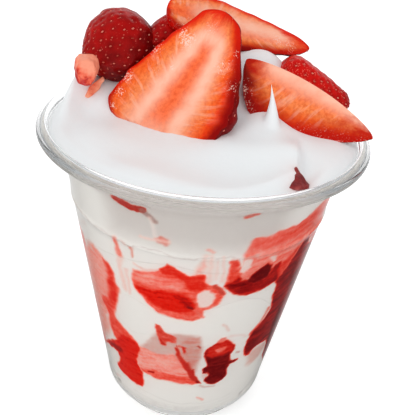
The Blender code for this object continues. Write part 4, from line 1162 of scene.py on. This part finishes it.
def torn_mesh(corners):
    """A torn piece of strawberry between its corners, with softened edges and a rough surface."""
    made = bmesh.new()
    for corner in corners:
        made.verts.new(Vector(corner) * MM)
    bmesh.ops.convex_hull(made, input=made.verts)
    loose = [vertex for vertex in made.verts if not vertex.link_faces]
    bmesh.ops.delete(made, geom=loose, context="VERTS")
    bmesh.ops.triangulate(made, faces=made.faces)
    bmesh.ops.subdivide_edges(made, edges=made.edges, cuts=9, use_grid_fill=True)
    for _ in range(2):
        bmesh.ops.smooth_vert(made, verts=made.verts, factor=0.5,
                              use_axis_x=True, use_axis_y=True, use_axis_z=True)
    made.normal_update()
    points = np.array([vertex.co for vertex in made.verts])
    normals = np.array([vertex.normal for vertex in made.verts])
    points = points + layered_noise(points, TORN_RELIEF)[:, None] * normals
    for vertex, place in zip(made.verts, points):
        vertex.co = place
    mesh = bpy.data.meshes.new("torn_piece")
    made.to_mesh(mesh)
    made.free()
    return mesh


def make_torn_pieces(materials):
    """The small torn pieces beside the berries and at the rim."""
    made = []
    for node, name, corners in TORN_PIECES:
        mesh = torn_mesh(corners)
        made.append(add_piece(name, mesh, materials[name], (node,), sharp=40.0))
    return made


# ------ Whipped top ------

def fold_height(x, y):
    """The fold: the cream rises from the left to a crest and drops steeply on its right side."""
    along = np.array(FOLD_END) - np.array(FOLD_START)
    length = np.linalg.norm(along)
    away_x, away_y = x - FOLD_START[0], y - FOLD_START[1]
    share = (away_x * along[0] + away_y * along[1]) / length**2
    across = (away_x * along[1] - away_y * along[0]) / length
    ends = smoothstep((share - 0.05) / 0.45) * smoothstep((1.20 - share) / 0.3)
    width = np.where(across > 0.0, FOLD_WIDTH, FOLD_WIDTH * 0.13)
    dip = FOLD_DIP * np.exp(-(((across + 0.0034) / 0.0030) ** 2))
    return ends * (FOLD_RISE * np.exp(-((across / width) ** 2)) - dip)


def plain_mound(x, y):
    """Top of the whipped cream from its heaps and its fold alone."""
    from_edge = CREAM_EDGE - np.hypot(x, y)
    mound = np.zeros(len(x))
    for middle_x, middle_y, height, spread in HEAPS:
        mound += height * np.exp(-((x - middle_x) ** 2 + (y - middle_y) ** 2) / spread**2)
    shoulder = 0.0008 * smoothstep(from_edge / 0.004)
    turn = np.arctan2(y, x)
    swirl = SWIRL_RELIEF * np.sin(3.0 * turn + from_edge / 0.0042) * smoothstep(from_edge / 0.008)
    edge = smoothstep(from_edge / 0.006)
    return CREAM_EDGE_HEIGHT + shoulder + (mound + fold_height(x, y)) * edge + swirl


def mark_weights():
    """How strongly each of the cream's marks lifts or lowers the mound round itself."""
    marks = np.array(CREAM_MARKS)
    away = np.hypot(marks[:, None, 0] - marks[None, :, 0], marks[:, None, 1] - marks[None, :, 1])
    pull = np.exp(-((away / MARK_REACH) ** 2)) + 0.02 * np.eye(len(marks))
    return np.linalg.solve(pull, marks[:, 2] * MM - plain_mound(marks[:, 0] * MM, marks[:, 1] * MM))


def mound_height(x, y):
    """Top of the whipped cream at points of the plan, through its marks."""
    lift = np.zeros(len(x))
    for (mark_x, mark_y, _), weight in zip(CREAM_MARKS, MARK_WEIGHTS):
        away = np.hypot(x / MM - mark_x, y / MM - mark_y)
        lift += weight * np.exp(-((away / MARK_REACH) ** 2))
    return plain_mound(x, y) + lift * smoothstep((CREAM_EDGE - np.hypot(x, y)) / 0.006)


MARK_WEIGHTS = mark_weights()

TOP_RINGS = 120
TINT_REACH = 0.0080  # how far from the fruit its tint is looked for
TINT_FADE = 0.0016
LOWEST_TINT = 0.0995  # height over which the cream takes a tint from the fruit
HIGHEST_SAUCE = 0.1010  # over this height the cream at the wall is plain


def peak_mesh():
    """The drawn-out peak of the cream as a leaning spike with a spreading foot."""
    sides, steps = 48, 40
    rings = []
    for step in range(steps):
        share = step / steps
        radius = PEAK_RADIUS * (1.0 - share) ** 1.6 + 0.00022 * math.sqrt(1.0 - share)
        middle = PEAK_FOOT.lerp(PEAK_TIP, share)
        middle.x += 0.0005 * math.sin(math.pi * share)
        if step == 0:
            middle -= Vector((0.0, 0.0, 0.003))
        way = np.linspace(0.0, 2.0 * math.pi, sides, endpoint=False)
        rings.append(np.stack((middle.x + radius * np.cos(way), middle.y + radius * np.sin(way),
                               np.full(sides, middle.z)), -1))
    mesh = closed_rings("cream_peak", rings, rings[0].mean(0), np.array(PEAK_TIP), painted=False)
    face_outwards(mesh)
    return mesh


def joined(first, second):
    """The union of two closed meshes."""
    objects = [new_object("form", mesh) for mesh in (first, second)]
    modifier = objects[0].modifiers.new("union", "BOOLEAN")
    modifier.operation = "UNION"
    modifier.solver = "MANIFOLD"
    modifier.object = objects[1]
    made = evaluated_mesh(objects[0])
    objects[0].modifiers.clear()
    for obj in objects:
        bpy.data.objects.remove(obj, do_unlink=True)
    return made


def mesh_points(mesh):
    """The points of a mesh as rows of coordinates."""
    points = np.empty(len(mesh.vertices) * 3, np.float32)
    mesh.vertices.foreach_get("co", points)
    return points.reshape(-1, 3).astype(float)


def soften(mesh, middle, reach, times):
    """Smooths a mesh near a point."""
    points = mesh_points(mesh)
    edges = np.empty(len(mesh.edges) * 2, np.int32)
    mesh.edges.foreach_get("vertices", edges)
    edges = edges.reshape(-1, 2)
    weight = (1.0 - smoothstep(np.linalg.norm(points - np.array(middle), axis=1) / reach))[:, None]
    count = np.bincount(edges.ravel(), minlength=len(points))[:, None]
    for _ in range(times):
        total = np.zeros_like(points)
        np.add.at(total, edges[:, 0], points[edges[:, 1]])
        np.add.at(total, edges[:, 1], points[edges[:, 0]])
        points += 0.6 * weight * (total / count - points)
    mesh.vertices.foreach_set("co", points.astype(np.float32).ravel())
    mesh.update()


def distance_to(pieces, points, reach):
    """Distance from each point to the nearest of some pieces, up to a reach."""
    trees = []
    for piece in pieces:
        made = bmesh.new()
        made.from_mesh(piece.data)
        trees.append(BVHTree.FromBMesh(made))
        made.free()
    result = np.full(len(points), reach)
    for index, point in enumerate(points):
        for tree in trees:
            found = tree.find_nearest(Vector(point), float(result[index]))
            if found[3] is not None:
                result[index] = found[3]
    return result


def cream_rings():
    """Rings of the whipped cream, from the upper sauce up the wall and over the mound to its middle."""
    degrees = wall_columns()
    rings = level_rings(UPPER_SAUCE_TOP, degrees)
    rings += side_rings(level_at(UPPER_SAUCE_TOP, degrees), np.full(len(degrees), TOP_OF_WALL), degrees)
    edge = CREAM_EDGE + CREAM_OVER_LIP
    for step in range(TOP_RINGS):
        ring = around(edge * (1.0 - step / TOP_RINGS) ** 0.9, degrees, 0.0)
        height = mound_height(ring[:, 0], ring[:, 1])
        if step < 3:
            height = mix(TOP_OF_FLARE, height, step / 3.0)
        ring[:, 2] = height
        rings.append(ring)
    return rings


def make_whipped_top(material, fruit):
    """The cream over the upper sauce, its mound, fold and peak."""
    middle_height = float(mound_height(np.array([0.0]), np.array([0.0]))[0])
    mesh = closed_rings("whipped_top", cream_rings(), (0, 0, UPPER_SAUCE_TOP[0]), (0, 0, middle_height))
    face_outwards(mesh)
    mesh = joined(mesh, peak_mesh())
    soften(mesh, middle=PEAK_FOOT + Vector((0.0, 0.0, 0.0010)), reach=0.0080, times=40)
    points = mesh_points(mesh)
    near = np.full(len(points), TINT_REACH)
    top = np.flatnonzero(points[:, 2] > LOWEST_TINT)
    near[top] = distance_to(fruit, points[top], TINT_REACH)
    red, dark = sauce(points)
    radius = np.hypot(points[:, 0], points[:, 1])
    at_wall = smoothstep((radius - inside_radius(points[:, 2])) / 0.0004 + 1.5)
    at_wall *= points[:, 2] < HIGHEST_SAUCE
    store(mesh, {"red": red * at_wall, "dark": dark * at_wall, "wall": at_wall,
                 "tint": np.exp(-near / TINT_FADE)})
    add_piece("whipped_top", mesh, material, ("cream_top",))


# ------ Materials ------

def new_material(name, **settings):
    """A material with a Principled BSDF, and the helper that adds nodes to it."""
    made = bpy.data.materials.new(name)
    made.use_nodes = True
    shader = made.node_tree.nodes["Principled BSDF"]
    for key, value in settings.items():
        shader.inputs[key.replace("_", " ")].default_value = value
    return made, shader, Tree(made.node_tree)


def ramp(make, factor, stops):
    """A colour ramp with (place, colour) stops, where a single number stands for a grey."""
    node = make.add("ShaderNodeValToRGB", {"Fac": factor})
    points = node.color_ramp.elements
    while len(points) > 1:
        points.remove(points[-1])
    for index, (place, color) in enumerate(stops):
        point = points.new(place) if index else points[0]
        point.position = place
        point.color = (*color, 1.0) if isinstance(color, tuple) else (color, color, color, 1.0)
    return node.outputs["Color"]


def blend(make, factor, first, second, kind="MIX"):
    """Mixes two colours."""
    node = make.add("ShaderNodeMix", data_type="RGBA", blend_type=kind)
    make.set(node.inputs["Factor"], factor)
    for socket, value in ((node.inputs[6], first), (node.inputs[7], second)):
        make.set(socket, (*value, 1.0) if isinstance(value, tuple) and len(value) == 3 else value)
    return node.outputs[2]


def value_of(make, name):
    """The value of this name at a point of the mesh."""
    return make.out("ShaderNodeAttribute", "Fac", attribute_name=name)


def noise(make, scale, detail=3.0, vector=None, roughness=0.55):
    """Noise from 0 to 1 on object coordinates, scale in features per metre."""
    if vector is None:
        vector = make.out("ShaderNodeTexCoord", "Object")
    return make.out("ShaderNodeTexNoise", "Fac", {
        "Vector": vector, "Scale": scale, "Detail": detail, "Roughness": roughness})


def finish_surface(make, shader, color, height=None, distance=0.0, strength=1.0):
    """Gives a shader its colour and, with a height, fine relief."""
    make.set(shader.inputs["Base Color"], color)
    if height is not None:
        make.set(shader.inputs["Normal"], make.out("ShaderNodeBump", "Normal", {
            "Height": height, "Distance": distance, "Strength": strength}))


# Painted shade on the lip's sides: a grey that stands for the darker room the lip shows there, and the
# radius from which it starts.
LIP_SHADE = (0.42, 0.43, 0.43)
LIP_SHADE_START = 0.0474
LIP_SHADE_SOFTNESS = 0.0008


def clear_plastic(settings):
    """Thin clear plastic that lets light through to the filling, with painted shade in grey on the lip's
    sides.
    """
    made, shader, make = new_material("clear_plastic", Roughness=0.035, IOR=1.45, Transmission_Weight=1.0)
    place = make.add("ShaderNodeSeparateXYZ", {"Vector": make.out("ShaderNodeTexCoord", "Object")}).outputs
    across, along = make.math("ABSOLUTE", place["X"]), make.math("ABSOLUTE", place["Y"])
    radius = make.math("SQRT", make.plus(make.math("POWER", across, 2.0), make.math("POWER", along, 2.0)))
    # Painted shade: the lip's sides towards the front go grey, for the dark refraction there.
    side = ramp(make, make.math("DIVIDE", across, radius), (
        (0.40, 0.0), (0.66, 1.0), (0.90, 1.0), (1.0, 0.2)))
    front = make.math("DIVIDE", make.times(place["Y"], -4.0), radius, True)
    outer = make.math("DIVIDE", make.minus(radius, LIP_SHADE_START), LIP_SHADE_SOFTNESS, True)
    shade = make.times(make.times(front, outer), side)
    finish_surface(make, shader, blend(make, shade, tuple(settings.plastic_color), LIP_SHADE))
    see = make.out("ShaderNodeBsdfTransparent", "BSDF", {"Color": (0.985, 0.988, 0.99, 1.0)})
    in_shadow = make.out("ShaderNodeLightPath", "Is Shadow Ray")
    both = make.out("ShaderNodeMixShader", "Shader", {"Fac": in_shadow, 1: shader.outputs["BSDF"], 2: see})
    make.set(made.node_tree.nodes["Material Output"].inputs["Surface"], both)
    return made


def group_color(make, name, build, settings, values):
    """The colour that a shader node group makes of named values.

    The group is built once, with the settings of that moment, and placed in each material that uses it.
    """
    tree = bpy.data.node_groups.get(name)
    if tree is None:
        tree = bpy.data.node_groups.new(name, "ShaderNodeTree")
        for key in values:
            tree.interface.new_socket(key, in_out="INPUT", socket_type="NodeSocketFloat")
        tree.interface.new_socket("Color", in_out="OUTPUT", socket_type="NodeSocketColor")
        inside = Tree(tree)
        given = inside.add("NodeGroupInput").outputs
        inside.add("NodeGroupOutput", {"Color": build(inside, given, settings)})
    return make.out("ShaderNodeGroup", "Color", values, node_tree=tree)


def sauce_color(make, given, settings):
    """Colour of the filling from its redness and darkness, with fine swirls."""
    grain = noise(make, 900.0, 4.0)
    speck = noise(make, 2600.0, 2.0)
    red = given["Redness"]
    shift = make.times(make.minus(grain, 0.5), 0.30)
    spread = make.times(shift, make.times(red, make.minus(1.15, red)))
    red = make.plus(red, make.times(spread, 3.0), True)
    color = ramp(make, red, (
        (0.0, tuple(settings.cream_behind_wall)), (0.12, (0.95, 0.74, 0.67)), (0.25, (1.0, 0.48, 0.40)),
        (0.42, (1.0, 0.22, 0.16)), (0.56, (0.96, 0.10, 0.06)), (0.70, (0.87, 0.034, 0.016)),
        (0.82, (0.86, 0.012, 0.003)), (0.92, (0.50, 0.004, 0.003)), (1.0, (0.24, 0.001, 0.002))))
    dark = make.times(given["Darkness"], make.plus(0.75, make.times(speck, 0.5)))
    # Darkness is partly the fruit's own dark red and partly painted shade, under the lip and along the lines
    # of the stacking ring, the flare and the foot: greyish brown on cream and dark maroon on sauce.
    dark_and_shade = blend(make, red, (0.24, 0.19, 0.17), (0.075, 0.002, 0.004))
    return blend(make, dark, color, dark_and_shade)


def sauce_on(make, settings):
    """The sauce's colour from the values that a mesh carries."""
    values = {"Redness": value_of(make, "red"), "Darkness": value_of(make, "dark")}
    return group_color(make, "sauce_color", sauce_color, settings, values)


def filling_material(settings):
    """Cream and sauce where they lie against the plastic: hardly any gloss of their own."""
    made, shader, make = new_material("filling_behind_wall",
                                      Roughness=0.45, IOR=1.36, Specular_IOR_Level=0.05)
    finish_surface(make, shader, sauce_on(make, settings))
    return made


def top_material(settings):
    """Whipped cream: nearly white, soft, pinkish where it touches fruit."""
    made, shader, make = new_material("whipped_cream", Roughness=0.42, IOR=1.40, Specular_IOR_Level=0.3)
    soft = noise(make, 90.0, 3.0)
    cream = blend(make, soft, tuple(settings.cream_color), (0.86, 0.88, 0.89))
    tint = make.times(value_of(make, "tint"), make.plus(0.25, noise(make, 500.0, 3.0)), True)
    cream = blend(make, make.times(tint, 0.35), cream, (0.80, 0.40, 0.34))
    color = blend(make, value_of(make, "wall"), cream, sauce_on(make, settings))
    finish_surface(make, shader, color, noise(make, 650.0, 4.0), 0.00012, 0.5)
    return made


def skin_color(make, given, settings):
    """Red skin, deeper with ripeness, with painted shade and painted highlights.

    Painted shade darkens it below and at the right and in the dimples round the seeds.
    Beside a cut it is brighter, partly its own red and partly painted light on the lit side.
    Fine pale glints are painted highlights.
    """
    blotch = noise(make, 170.0, 3.0)
    fine = noise(make, 900.0, 2.0)
    # Ripeness and shade carries painted shade, so the skin goes towards its dark colour below and at the
    # right.
    ripe = make.plus(given["Ripeness and shade"], make.times(make.minus(blotch, 0.5), 0.9))
    base = ramp(make, ripe, ((0.0, tuple(settings.skin_color)), (0.65, (0.36, 0.002, 0.002)),
                             (1.0, tuple(settings.skin_dark))))
    # Painted shade: the skin is darker in the dimples round the seeds.
    base = blend(make, make.times(given["Dimple"], 0.45), base, (0.12, 0.0, 0.0))
    base = blend(make, make.times(fine, 0.08), base, (0.72, 0.020, 0.008))
    # Painted highlights: pale glints from fine noise, denser where the skin's painted shade is lighter.
    light = make.times(make.minus(0.9, given["Ripeness and shade"]), 0.08)
    light = make.plus(noise(make, 1900.0, 1.0), light)
    glint = ramp(make, light, ((0.70, 0.0), (0.78, 0.6)))
    base = blend(make, glint, base, (0.90, 0.20, 0.14))
    # Brighter red beside a cut: partly the thin skin's own colour, partly painted light on its lit side.
    return blend(make, make.times(given["Beside a cut"], 0.9), base, (0.84, 0.030, 0.008))


def skin_on(make, settings):
    """The skin's colour from the values that a mesh carries."""
    values = {"Ripeness and shade": value_of(make, "deep"), "Dimple": value_of(make, "dimple"),
              "Beside a cut": value_of(make, "edge")}
    return group_color(make, "skin_color", skin_color, settings, values)


def skin_material(settings):
    """Shiny skin of whole strawberries."""
    made, shader, make = new_material("strawberry_skin", Roughness=0.34, IOR=1.40, Specular_IOR_Level=0.14,
                                      Coat_Weight=0.08, Coat_Roughness=0.08)
    finish_surface(make, shader, skin_on(make, settings), noise(make, 1300.0, 3.0), 0.00010, 0.6)
    return made


def flesh_color(make, settings, cloud, grain, thread):
    """Colour of cut flesh: salmon at the core, pale bands and fibres, red towards the skin, painted glints.

    The glints are painted highlights, pale specks at the moist places of the cut face.
    """
    core, rim, wet_glints = value_of(make, "core"), value_of(make, "rim"), value_of(make, "wet_glints")
    pale_tone = tuple(settings.pale_flesh)
    depth = make.plus(core, make.times(make.minus(cloud, 0.5), 0.30), True)
    color = ramp(make, depth, (
        (0.0, (1.0, 0.16, 0.045)), (0.28, (1.0, 0.21, 0.065)), (0.48, (0.98, 0.26, 0.075)),
        (0.66, (0.96, 0.15, 0.024)), (0.82, (0.86, 0.045, 0.003)), (1.0, (0.50, 0.002, 0.001))))
    grit = ramp(make, grain, ((0.35, (0.78, 0.50, 0.42)), (0.60, 1.0)))
    color = blend(make, 0.7, color, grit, "MULTIPLY")

    streaks = ramp(make, thread, ((0.50, 0.0), (0.62, 1.0)))
    zone = ramp(make, core, ((0.22, 0.0), (0.36, 0.50), (0.62, 0.36), (0.80, 0.10), (0.90, 0.0)))
    before_tip = ramp(make, value_of(make, "share"), ((0.70, 1.0), (0.86, 0.0)))
    color = blend(make, make.times(streaks, make.times(zone, before_tip)), color, pale_tone)
    soft = make.plus(0.58, make.times(cloud, 0.80))
    color = blend(make, make.times(value_of(make, "pale"), soft, True), color, pale_tone)

    red_edge = blend(make, value_of(make, "deep"), (0.76, 0.012, 0.002), (0.20, 0.0, 0.001))
    wavy = make.plus(rim, make.times(make.minus(cloud, 0.5), 1.6))
    edge = ramp(make, make.math("DIVIDE", wavy, 2.0), ((0.20, 1.0), (0.80, 0.0)))
    color = blend(make, make.times(edge, 0.95), color, red_edge)

    # Painted highlights: pale specks of glint at the moist places of the cut face.
    speck = make.plus(noise(make, 2300.0, 1.0), make.times(wet_glints, 0.22))
    shine = ramp(make, speck, ((0.66, 0.0), (0.72, 0.9)))
    return blend(make, make.times(shine, make.times(wet_glints, 1.6, True)), color, (1.0, 0.62, 0.50))


def flesh_material(settings):
    """Cut flesh on the cut faces and skin on the rest."""
    made, shader, make = new_material("strawberry_flesh", Roughness=0.34, IOR=1.38, Specular_IOR_Level=0.10,
                                      Coat_Weight=0.05, Coat_Roughness=0.10)
    fibre = make.out("ShaderNodeAttribute", "Vector", attribute_name="fibre")
    lines = make.out("ShaderNodeMapping", "Vector", {"Vector": fibre, "Scale": (0.10, 0.60, 1.0)})
    thread = noise(make, 1.0, 3.0, lines, 0.6)
    cloud = noise(make, 0.34, 3.0, fibre)
    grain = noise(make, 1000.0, 3.0)
    color = flesh_color(make, settings, cloud, grain, thread)
    color = blend(make, value_of(make, "cut"), skin_on(make, settings), color)
    height = make.plus(make.times(thread, 0.5), make.times(grain, 0.7))
    finish_surface(make, shader, color, height, 0.00018, 0.7)
    return made


def seed_material(settings):
    """Seeds from reddish to pale."""
    made, shader, make = new_material("strawberry_seed", Roughness=0.35, IOR=1.45)
    tone = noise(make, 260.0, 1.0)
    finish_surface(make, shader, ramp(make, tone, (
        (0.30, (0.46, 0.06, 0.03)), (0.55, tuple(settings.seed_color)), (0.8, (0.86, 0.42, 0.28)))))
    return made


def torn_material(name, stops, roughness, red_side=(0.0, 0.0, 0.0), red_start=0.0):
    """Torn fruit whose colour changes over its surface, redder towards one side."""
    made, shader, make = new_material(name, Roughness=roughness, IOR=1.40,
                                      Coat_Weight=0.1, Coat_Roughness=0.15)
    place = make.out("ShaderNodeTexCoord", "Object")
    along = make.out("ShaderNodeVectorMath", "Value", {0: place, 1: red_side}, operation="DOT_PRODUCT")
    tone = make.minus(noise(make, 260.0, 4.0), make.minus(along, red_start))
    finish_surface(make, shader, ramp(make, tone, stops), noise(make, 1500.0, 4.0), 0.00022, 0.8)
    return made


def fruit_materials(settings):
    """Materials of the strawberries, their seeds and each torn piece."""
    return {
        "skin": skin_material(settings),
        "flesh": flesh_material(settings),
        "seed": seed_material(settings),
        "torn_chunk": torn_material("torn_chunk", (
            (0.36, (0.60, 0.008, 0.004)), (0.45, (0.93, 0.15, 0.075)), (0.62, (1.0, 0.34, 0.21))), 0.36,
            (-55.0, -5.0, -60.0), -4.94),
        "torn_flake": torn_material("torn_flake", (
            (0.30, (0.80, 0.06, 0.03)), (0.48, (1.0, 0.27, 0.14)), (0.70, (1.0, 0.46, 0.30))), 0.32),
        "torn_piece_at_the_rim": torn_material("torn_piece_at_the_rim", (
            (0.30, (0.12, 0.008, 0.010)), (0.50, (0.27, 0.022, 0.022)), (0.75, (0.48, 0.09, 0.08))), 0.40),
    }


# ------ Stage ------

CAMERA_PLACE = Vector((0.0, -0.167517, 0.175217))
CAMERA_BACK = Vector((-0.01628274, -0.85238437, 0.52266218))  # from what it looks at towards the camera
CAMERA_ROLL = 5.7  # degrees
FOCAL_PIXELS = 600.0
PICTURE_WIDTH = 415.0
SENSOR_WIDTH = 36.0


def make_camera():
    """The camera, which looks down at the front of the cup."""
    camera = bpy.data.cameras.new("view")
    camera.sensor_width = SENSOR_WIDTH
    camera.lens = FOCAL_PIXELS / PICTURE_WIDTH * SENSOR_WIDTH
    camera.clip_start = 0.01
    obj = new_object("view", camera)
    right = Vector((0.0, 0.0, 1.0)).cross(CAMERA_BACK).normalized()
    up = CAMERA_BACK.cross(right)
    roll = math.radians(CAMERA_ROLL)
    level = math.cos(roll) * right + math.sin(roll) * up
    top = math.cos(roll) * up - math.sin(roll) * right
    obj.matrix_world = Matrix((level, top, CAMERA_BACK)).transposed().to_4x4()
    obj.location = CAMERA_PLACE
    bpy.context.scene.camera = obj


LIT_POINT = Vector((0.0, 0.0, 0.08))
# Name, place, size, share of the key light's power, colour and whether gloss mirrors it.
LIGHTS = (
    ("key", (-0.45, -0.35, 0.75), 0.45, 1.0, (1.0, 0.985, 0.965), False),
    ("fill", (0.30, -0.85, 0.25), 0.60, 0.55, (0.98, 0.985, 1.0), False),
    ("back", (0.15, 0.65, 0.60), 0.50, 0.5, (1.0, 1.0, 1.0), True),
)


def add_light(name, place, size, power, color, in_gloss):
    """A round soft light that shines at the cup."""
    light = bpy.data.lights.new(name, "AREA")
    light.shape = "DISK"
    light.size = size
    light.energy = power
    light.color = color
    obj = new_object(name, light)
    obj.location = place
    obj.rotation_euler = (LIT_POINT - Vector(place)).to_track_quat("-Z", "Y").to_euler()
    obj.visible_glossy = in_gloss


def make_floor(settings):
    """A wide pale floor."""
    half = settings.floor_half
    corners = [(-half, -half, 0), (half, -half, 0), (half, half, 0), (-half, half, 0)]
    floor = new_mesh("floor", corners, [np.array([[0, 1, 2, 3]])])
    made, shader, make = new_material("pale_floor", Roughness=0.8, Emission_Strength=0.30)
    shader.inputs["Emission Color"].default_value = (1.0, 1.0, 1.0, 1.0)
    tone = noise(make, 3.0, 2.0)
    pale = tuple(settings.floor_color)
    finish_surface(make, shader, blend(make, tone, pale, tuple(0.985 * part for part in pale)))
    floor.materials.append(made)
    obj = new_object("floor", floor)
    obj.visible_glossy = False


def make_surroundings(settings):
    """Soft light from all sides, and the room that gloss and clear plastic show."""
    world = bpy.data.worlds.new("studio")
    bpy.context.scene.world = world
    world.use_nodes = True
    make = Tree(world.node_tree)
    parts = make.add("ShaderNodeSeparateXYZ", {"Vector": make.out("ShaderNodeTexCoord", "Generated")}).outputs
    upward = make.plus(make.times(parts["Z"], 0.5), 0.5)
    sky = ramp(make, upward, (
        (0.0, 1.0), (0.54, 1.0), (0.72, (0.72, 0.73, 0.74)), (1.0, (0.64, 0.65, 0.66))))
    # The room is pale behind the cup and dark in front of it.
    backward = make.plus(make.times(parts["Y"], 0.5), 0.5)
    room = ramp(make, backward, ((0.40, 0.02), (0.76, 0.10), (0.89, 0.60), (1.0, 0.80)))
    path = make.add("ShaderNodeLightPath").outputs
    gloss = make.math("MAXIMUM", path["Is Glossy Ray"], path["Is Transmission Ray"])
    gloss = make.times(gloss, make.math("LESS_THAN", path["Diffuse Depth"], 0.5))
    ground = world.node_tree.nodes["Background"]
    make.set(ground.inputs["Color"], blend(make, gloss, sky, room))
    ground.inputs["Strength"].default_value = settings.sky_strength


def make_stage(settings):
    """Pale floor, soft studio light and the camera."""
    bpy.context.scene.view_settings.view_transform = "Standard"
    make_floor(settings)
    make_surroundings(settings)
    for name, place, size, share, color, in_gloss in LIGHTS:
        add_light(name, place, size, settings.key_power * share, color, in_gloss)
    make_camera()


# ------ Settings, operators and panel ------

def color_setting(name, description, default):
    """A colour that can be changed in the panel."""
    return FloatVectorProperty(name=name, description=description, subtype="COLOR", size=3, min=0.0, max=1.0,
                               default=default)


class CupSettings(bpy.types.PropertyGroup):
    """The clear cup."""

    plastic_color: color_setting("Plastic", "Tint of the clear plastic", (0.995, 0.997, 1.0))
    segments: IntProperty(name="Segments", description="Sides of the turned shell",
                          default=192, min=24, max=512)


class FillingSettings(bpy.types.PropertyGroup):
    """Cream and crushed strawberry."""

    cream_color: color_setting("Whipped cream", "Colour of the whipped top", (0.885, 0.905, 0.910))
    cream_behind_wall: color_setting("Cream behind the wall", "Colour of the cream seen through the plastic",
                                     (0.93, 0.905, 0.86))


class FruitSettings(bpy.types.PropertyGroup):
    """Strawberries."""

    skin_color: color_setting("Skin", "Colour of the skin", (0.66, 0.004, 0.002))
    # The ripest skin and the skin's deepest painted shade, below and at the right, both take this colour.
    skin_dark: color_setting("Dark skin", "Colour of the ripest skin", (0.15, 0.0, 0.001))
    pale_flesh: color_setting("Pale flesh", "Colour of the bands and fibres", (1.0, 0.51, 0.36))
    seed_color: color_setting("Seeds", "Colour of most seeds", (0.74, 0.20, 0.14))
    seed_size: FloatVectorProperty(name="Seed size", description="Half width, half length and half height",
                                   default=(0.00023, 0.00040, 0.00017), size=3, min=0.0, unit="LENGTH",
                                   precision=5)
    seed_unevenness: FloatProperty(name="Uneven seeds", description="How much the seeds differ in size",
                                   default=0.22, min=0.0, max=0.9, subtype="FACTOR")
    random_seed: IntProperty(name="Random seed", description="Changes which seeds are larger", default=5)


class StageSettings(bpy.types.PropertyGroup):
    """Floor and lights."""

    floor_color: color_setting("Floor", "Colour of the floor", (0.96, 0.96, 0.96))
    floor_half: FloatProperty(name="Floor size", description="Half the side of the floor",
                              default=3.0, min=0.2, unit="LENGTH")
    sky_strength: FloatProperty(name="Surrounding light", description="Strength of the light from all sides",
                                default=1.12, min=0.0, max=5.0)
    key_power: FloatProperty(name="Key light", description="Power of the main light", default=1.2, min=0.0,
                             max=100.0, unit="POWER")


MADE = {}  # the fruit of the last run, which the whipped top takes its tint from


class CUPMAKER_OT_cup(bpy.types.Operator):
    """Makes the clear cup"""

    bl_idname = "cupmaker.cup"
    bl_label = "Clear cup"

    def execute(self, context):
        make_cup(context.scene.cup_settings)
        return {"FINISHED"}


class CUPMAKER_OT_layers(bpy.types.Operator):
    """Makes the layers of cream and crushed strawberry and the fruit pressed against the wall"""

    bl_idname = "cupmaker.layers"
    bl_label = "Layers"

    def execute(self, context):
        filling = filling_material(context.scene.filling_settings)
        make_layers(filling)
        make_wall_pieces(filling)
        return {"FINISHED"}


class CUPMAKER_OT_fruit(bpy.types.Operator):
    """Makes the strawberries and torn pieces on top"""

    bl_idname = "cupmaker.fruit"
    bl_label = "Fruit on top"

    def execute(self, context):
        settings = context.scene.fruit_settings
        materials = fruit_materials(settings)
        MADE["fruit"] = make_berries(materials) + make_torn_pieces(materials)
        make_seeds(settings, materials["seed"])
        return {"FINISHED"}


class CUPMAKER_OT_whipped_top(bpy.types.Operator):
    """Makes the whipped cream on top, which takes a tint from the fruit that lies on it"""

    bl_idname = "cupmaker.whipped_top"
    bl_label = "Whipped top"

    def execute(self, context):
        if "fruit" not in MADE:
            raise RuntimeError("the fruit is made before the whipped top")
        make_whipped_top(top_material(context.scene.filling_settings), MADE["fruit"])
        return {"FINISHED"}


class CUPMAKER_OT_stage(bpy.types.Operator):
    """Makes the floor, the lights and the camera"""

    bl_idname = "cupmaker.stage"
    bl_label = "Stage"

    def execute(self, context):
        make_stage(context.scene.stage_settings)
        return {"FINISHED"}


OPERATORS = (CUPMAKER_OT_cup, CUPMAKER_OT_layers, CUPMAKER_OT_fruit, CUPMAKER_OT_whipped_top,
             CUPMAKER_OT_stage)
SETTINGS = (("cup_settings", CupSettings), ("filling_settings", FillingSettings),
            ("fruit_settings", FruitSettings), ("stage_settings", StageSettings))


class CUPMAKER_PT_panel(bpy.types.Panel):
    """Lists the settings and pieces of the cup"""

    bl_idname = "CUPMAKER_PT_panel"
    bl_label = "Strawberries and cream"
    bl_space_type = "VIEW_3D"
    bl_region_type = "UI"
    bl_category = "Strawberry cup"

    def draw(self, context):
        for name, kind in SETTINGS:
            box = self.layout.box()
            for key in kind.__annotations__:
                box.prop(getattr(context.scene, name), key)
        for operator in OPERATORS:
            self.layout.operator(operator.bl_idname)


def register():
    for name, kind in SETTINGS:
        bpy.utils.register_class(kind)
        setattr(bpy.types.Scene, name, PointerProperty(type=kind))
    for kind in (*OPERATORS, CUPMAKER_PT_panel):
        bpy.utils.register_class(kind)


def unregister():
    for kind in (CUPMAKER_PT_panel, *reversed(OPERATORS)):
        bpy.utils.unregister_class(kind)
    for name, kind in reversed(SETTINGS):
        delattr(bpy.types.Scene, name)
        bpy.utils.unregister_class(kind)


def main():
    register()
    for operator in OPERATORS:
        group, name = operator.bl_idname.split(".")
        getattr(getattr(bpy.ops, group), name)()


if __name__ == "__main__":
    main()
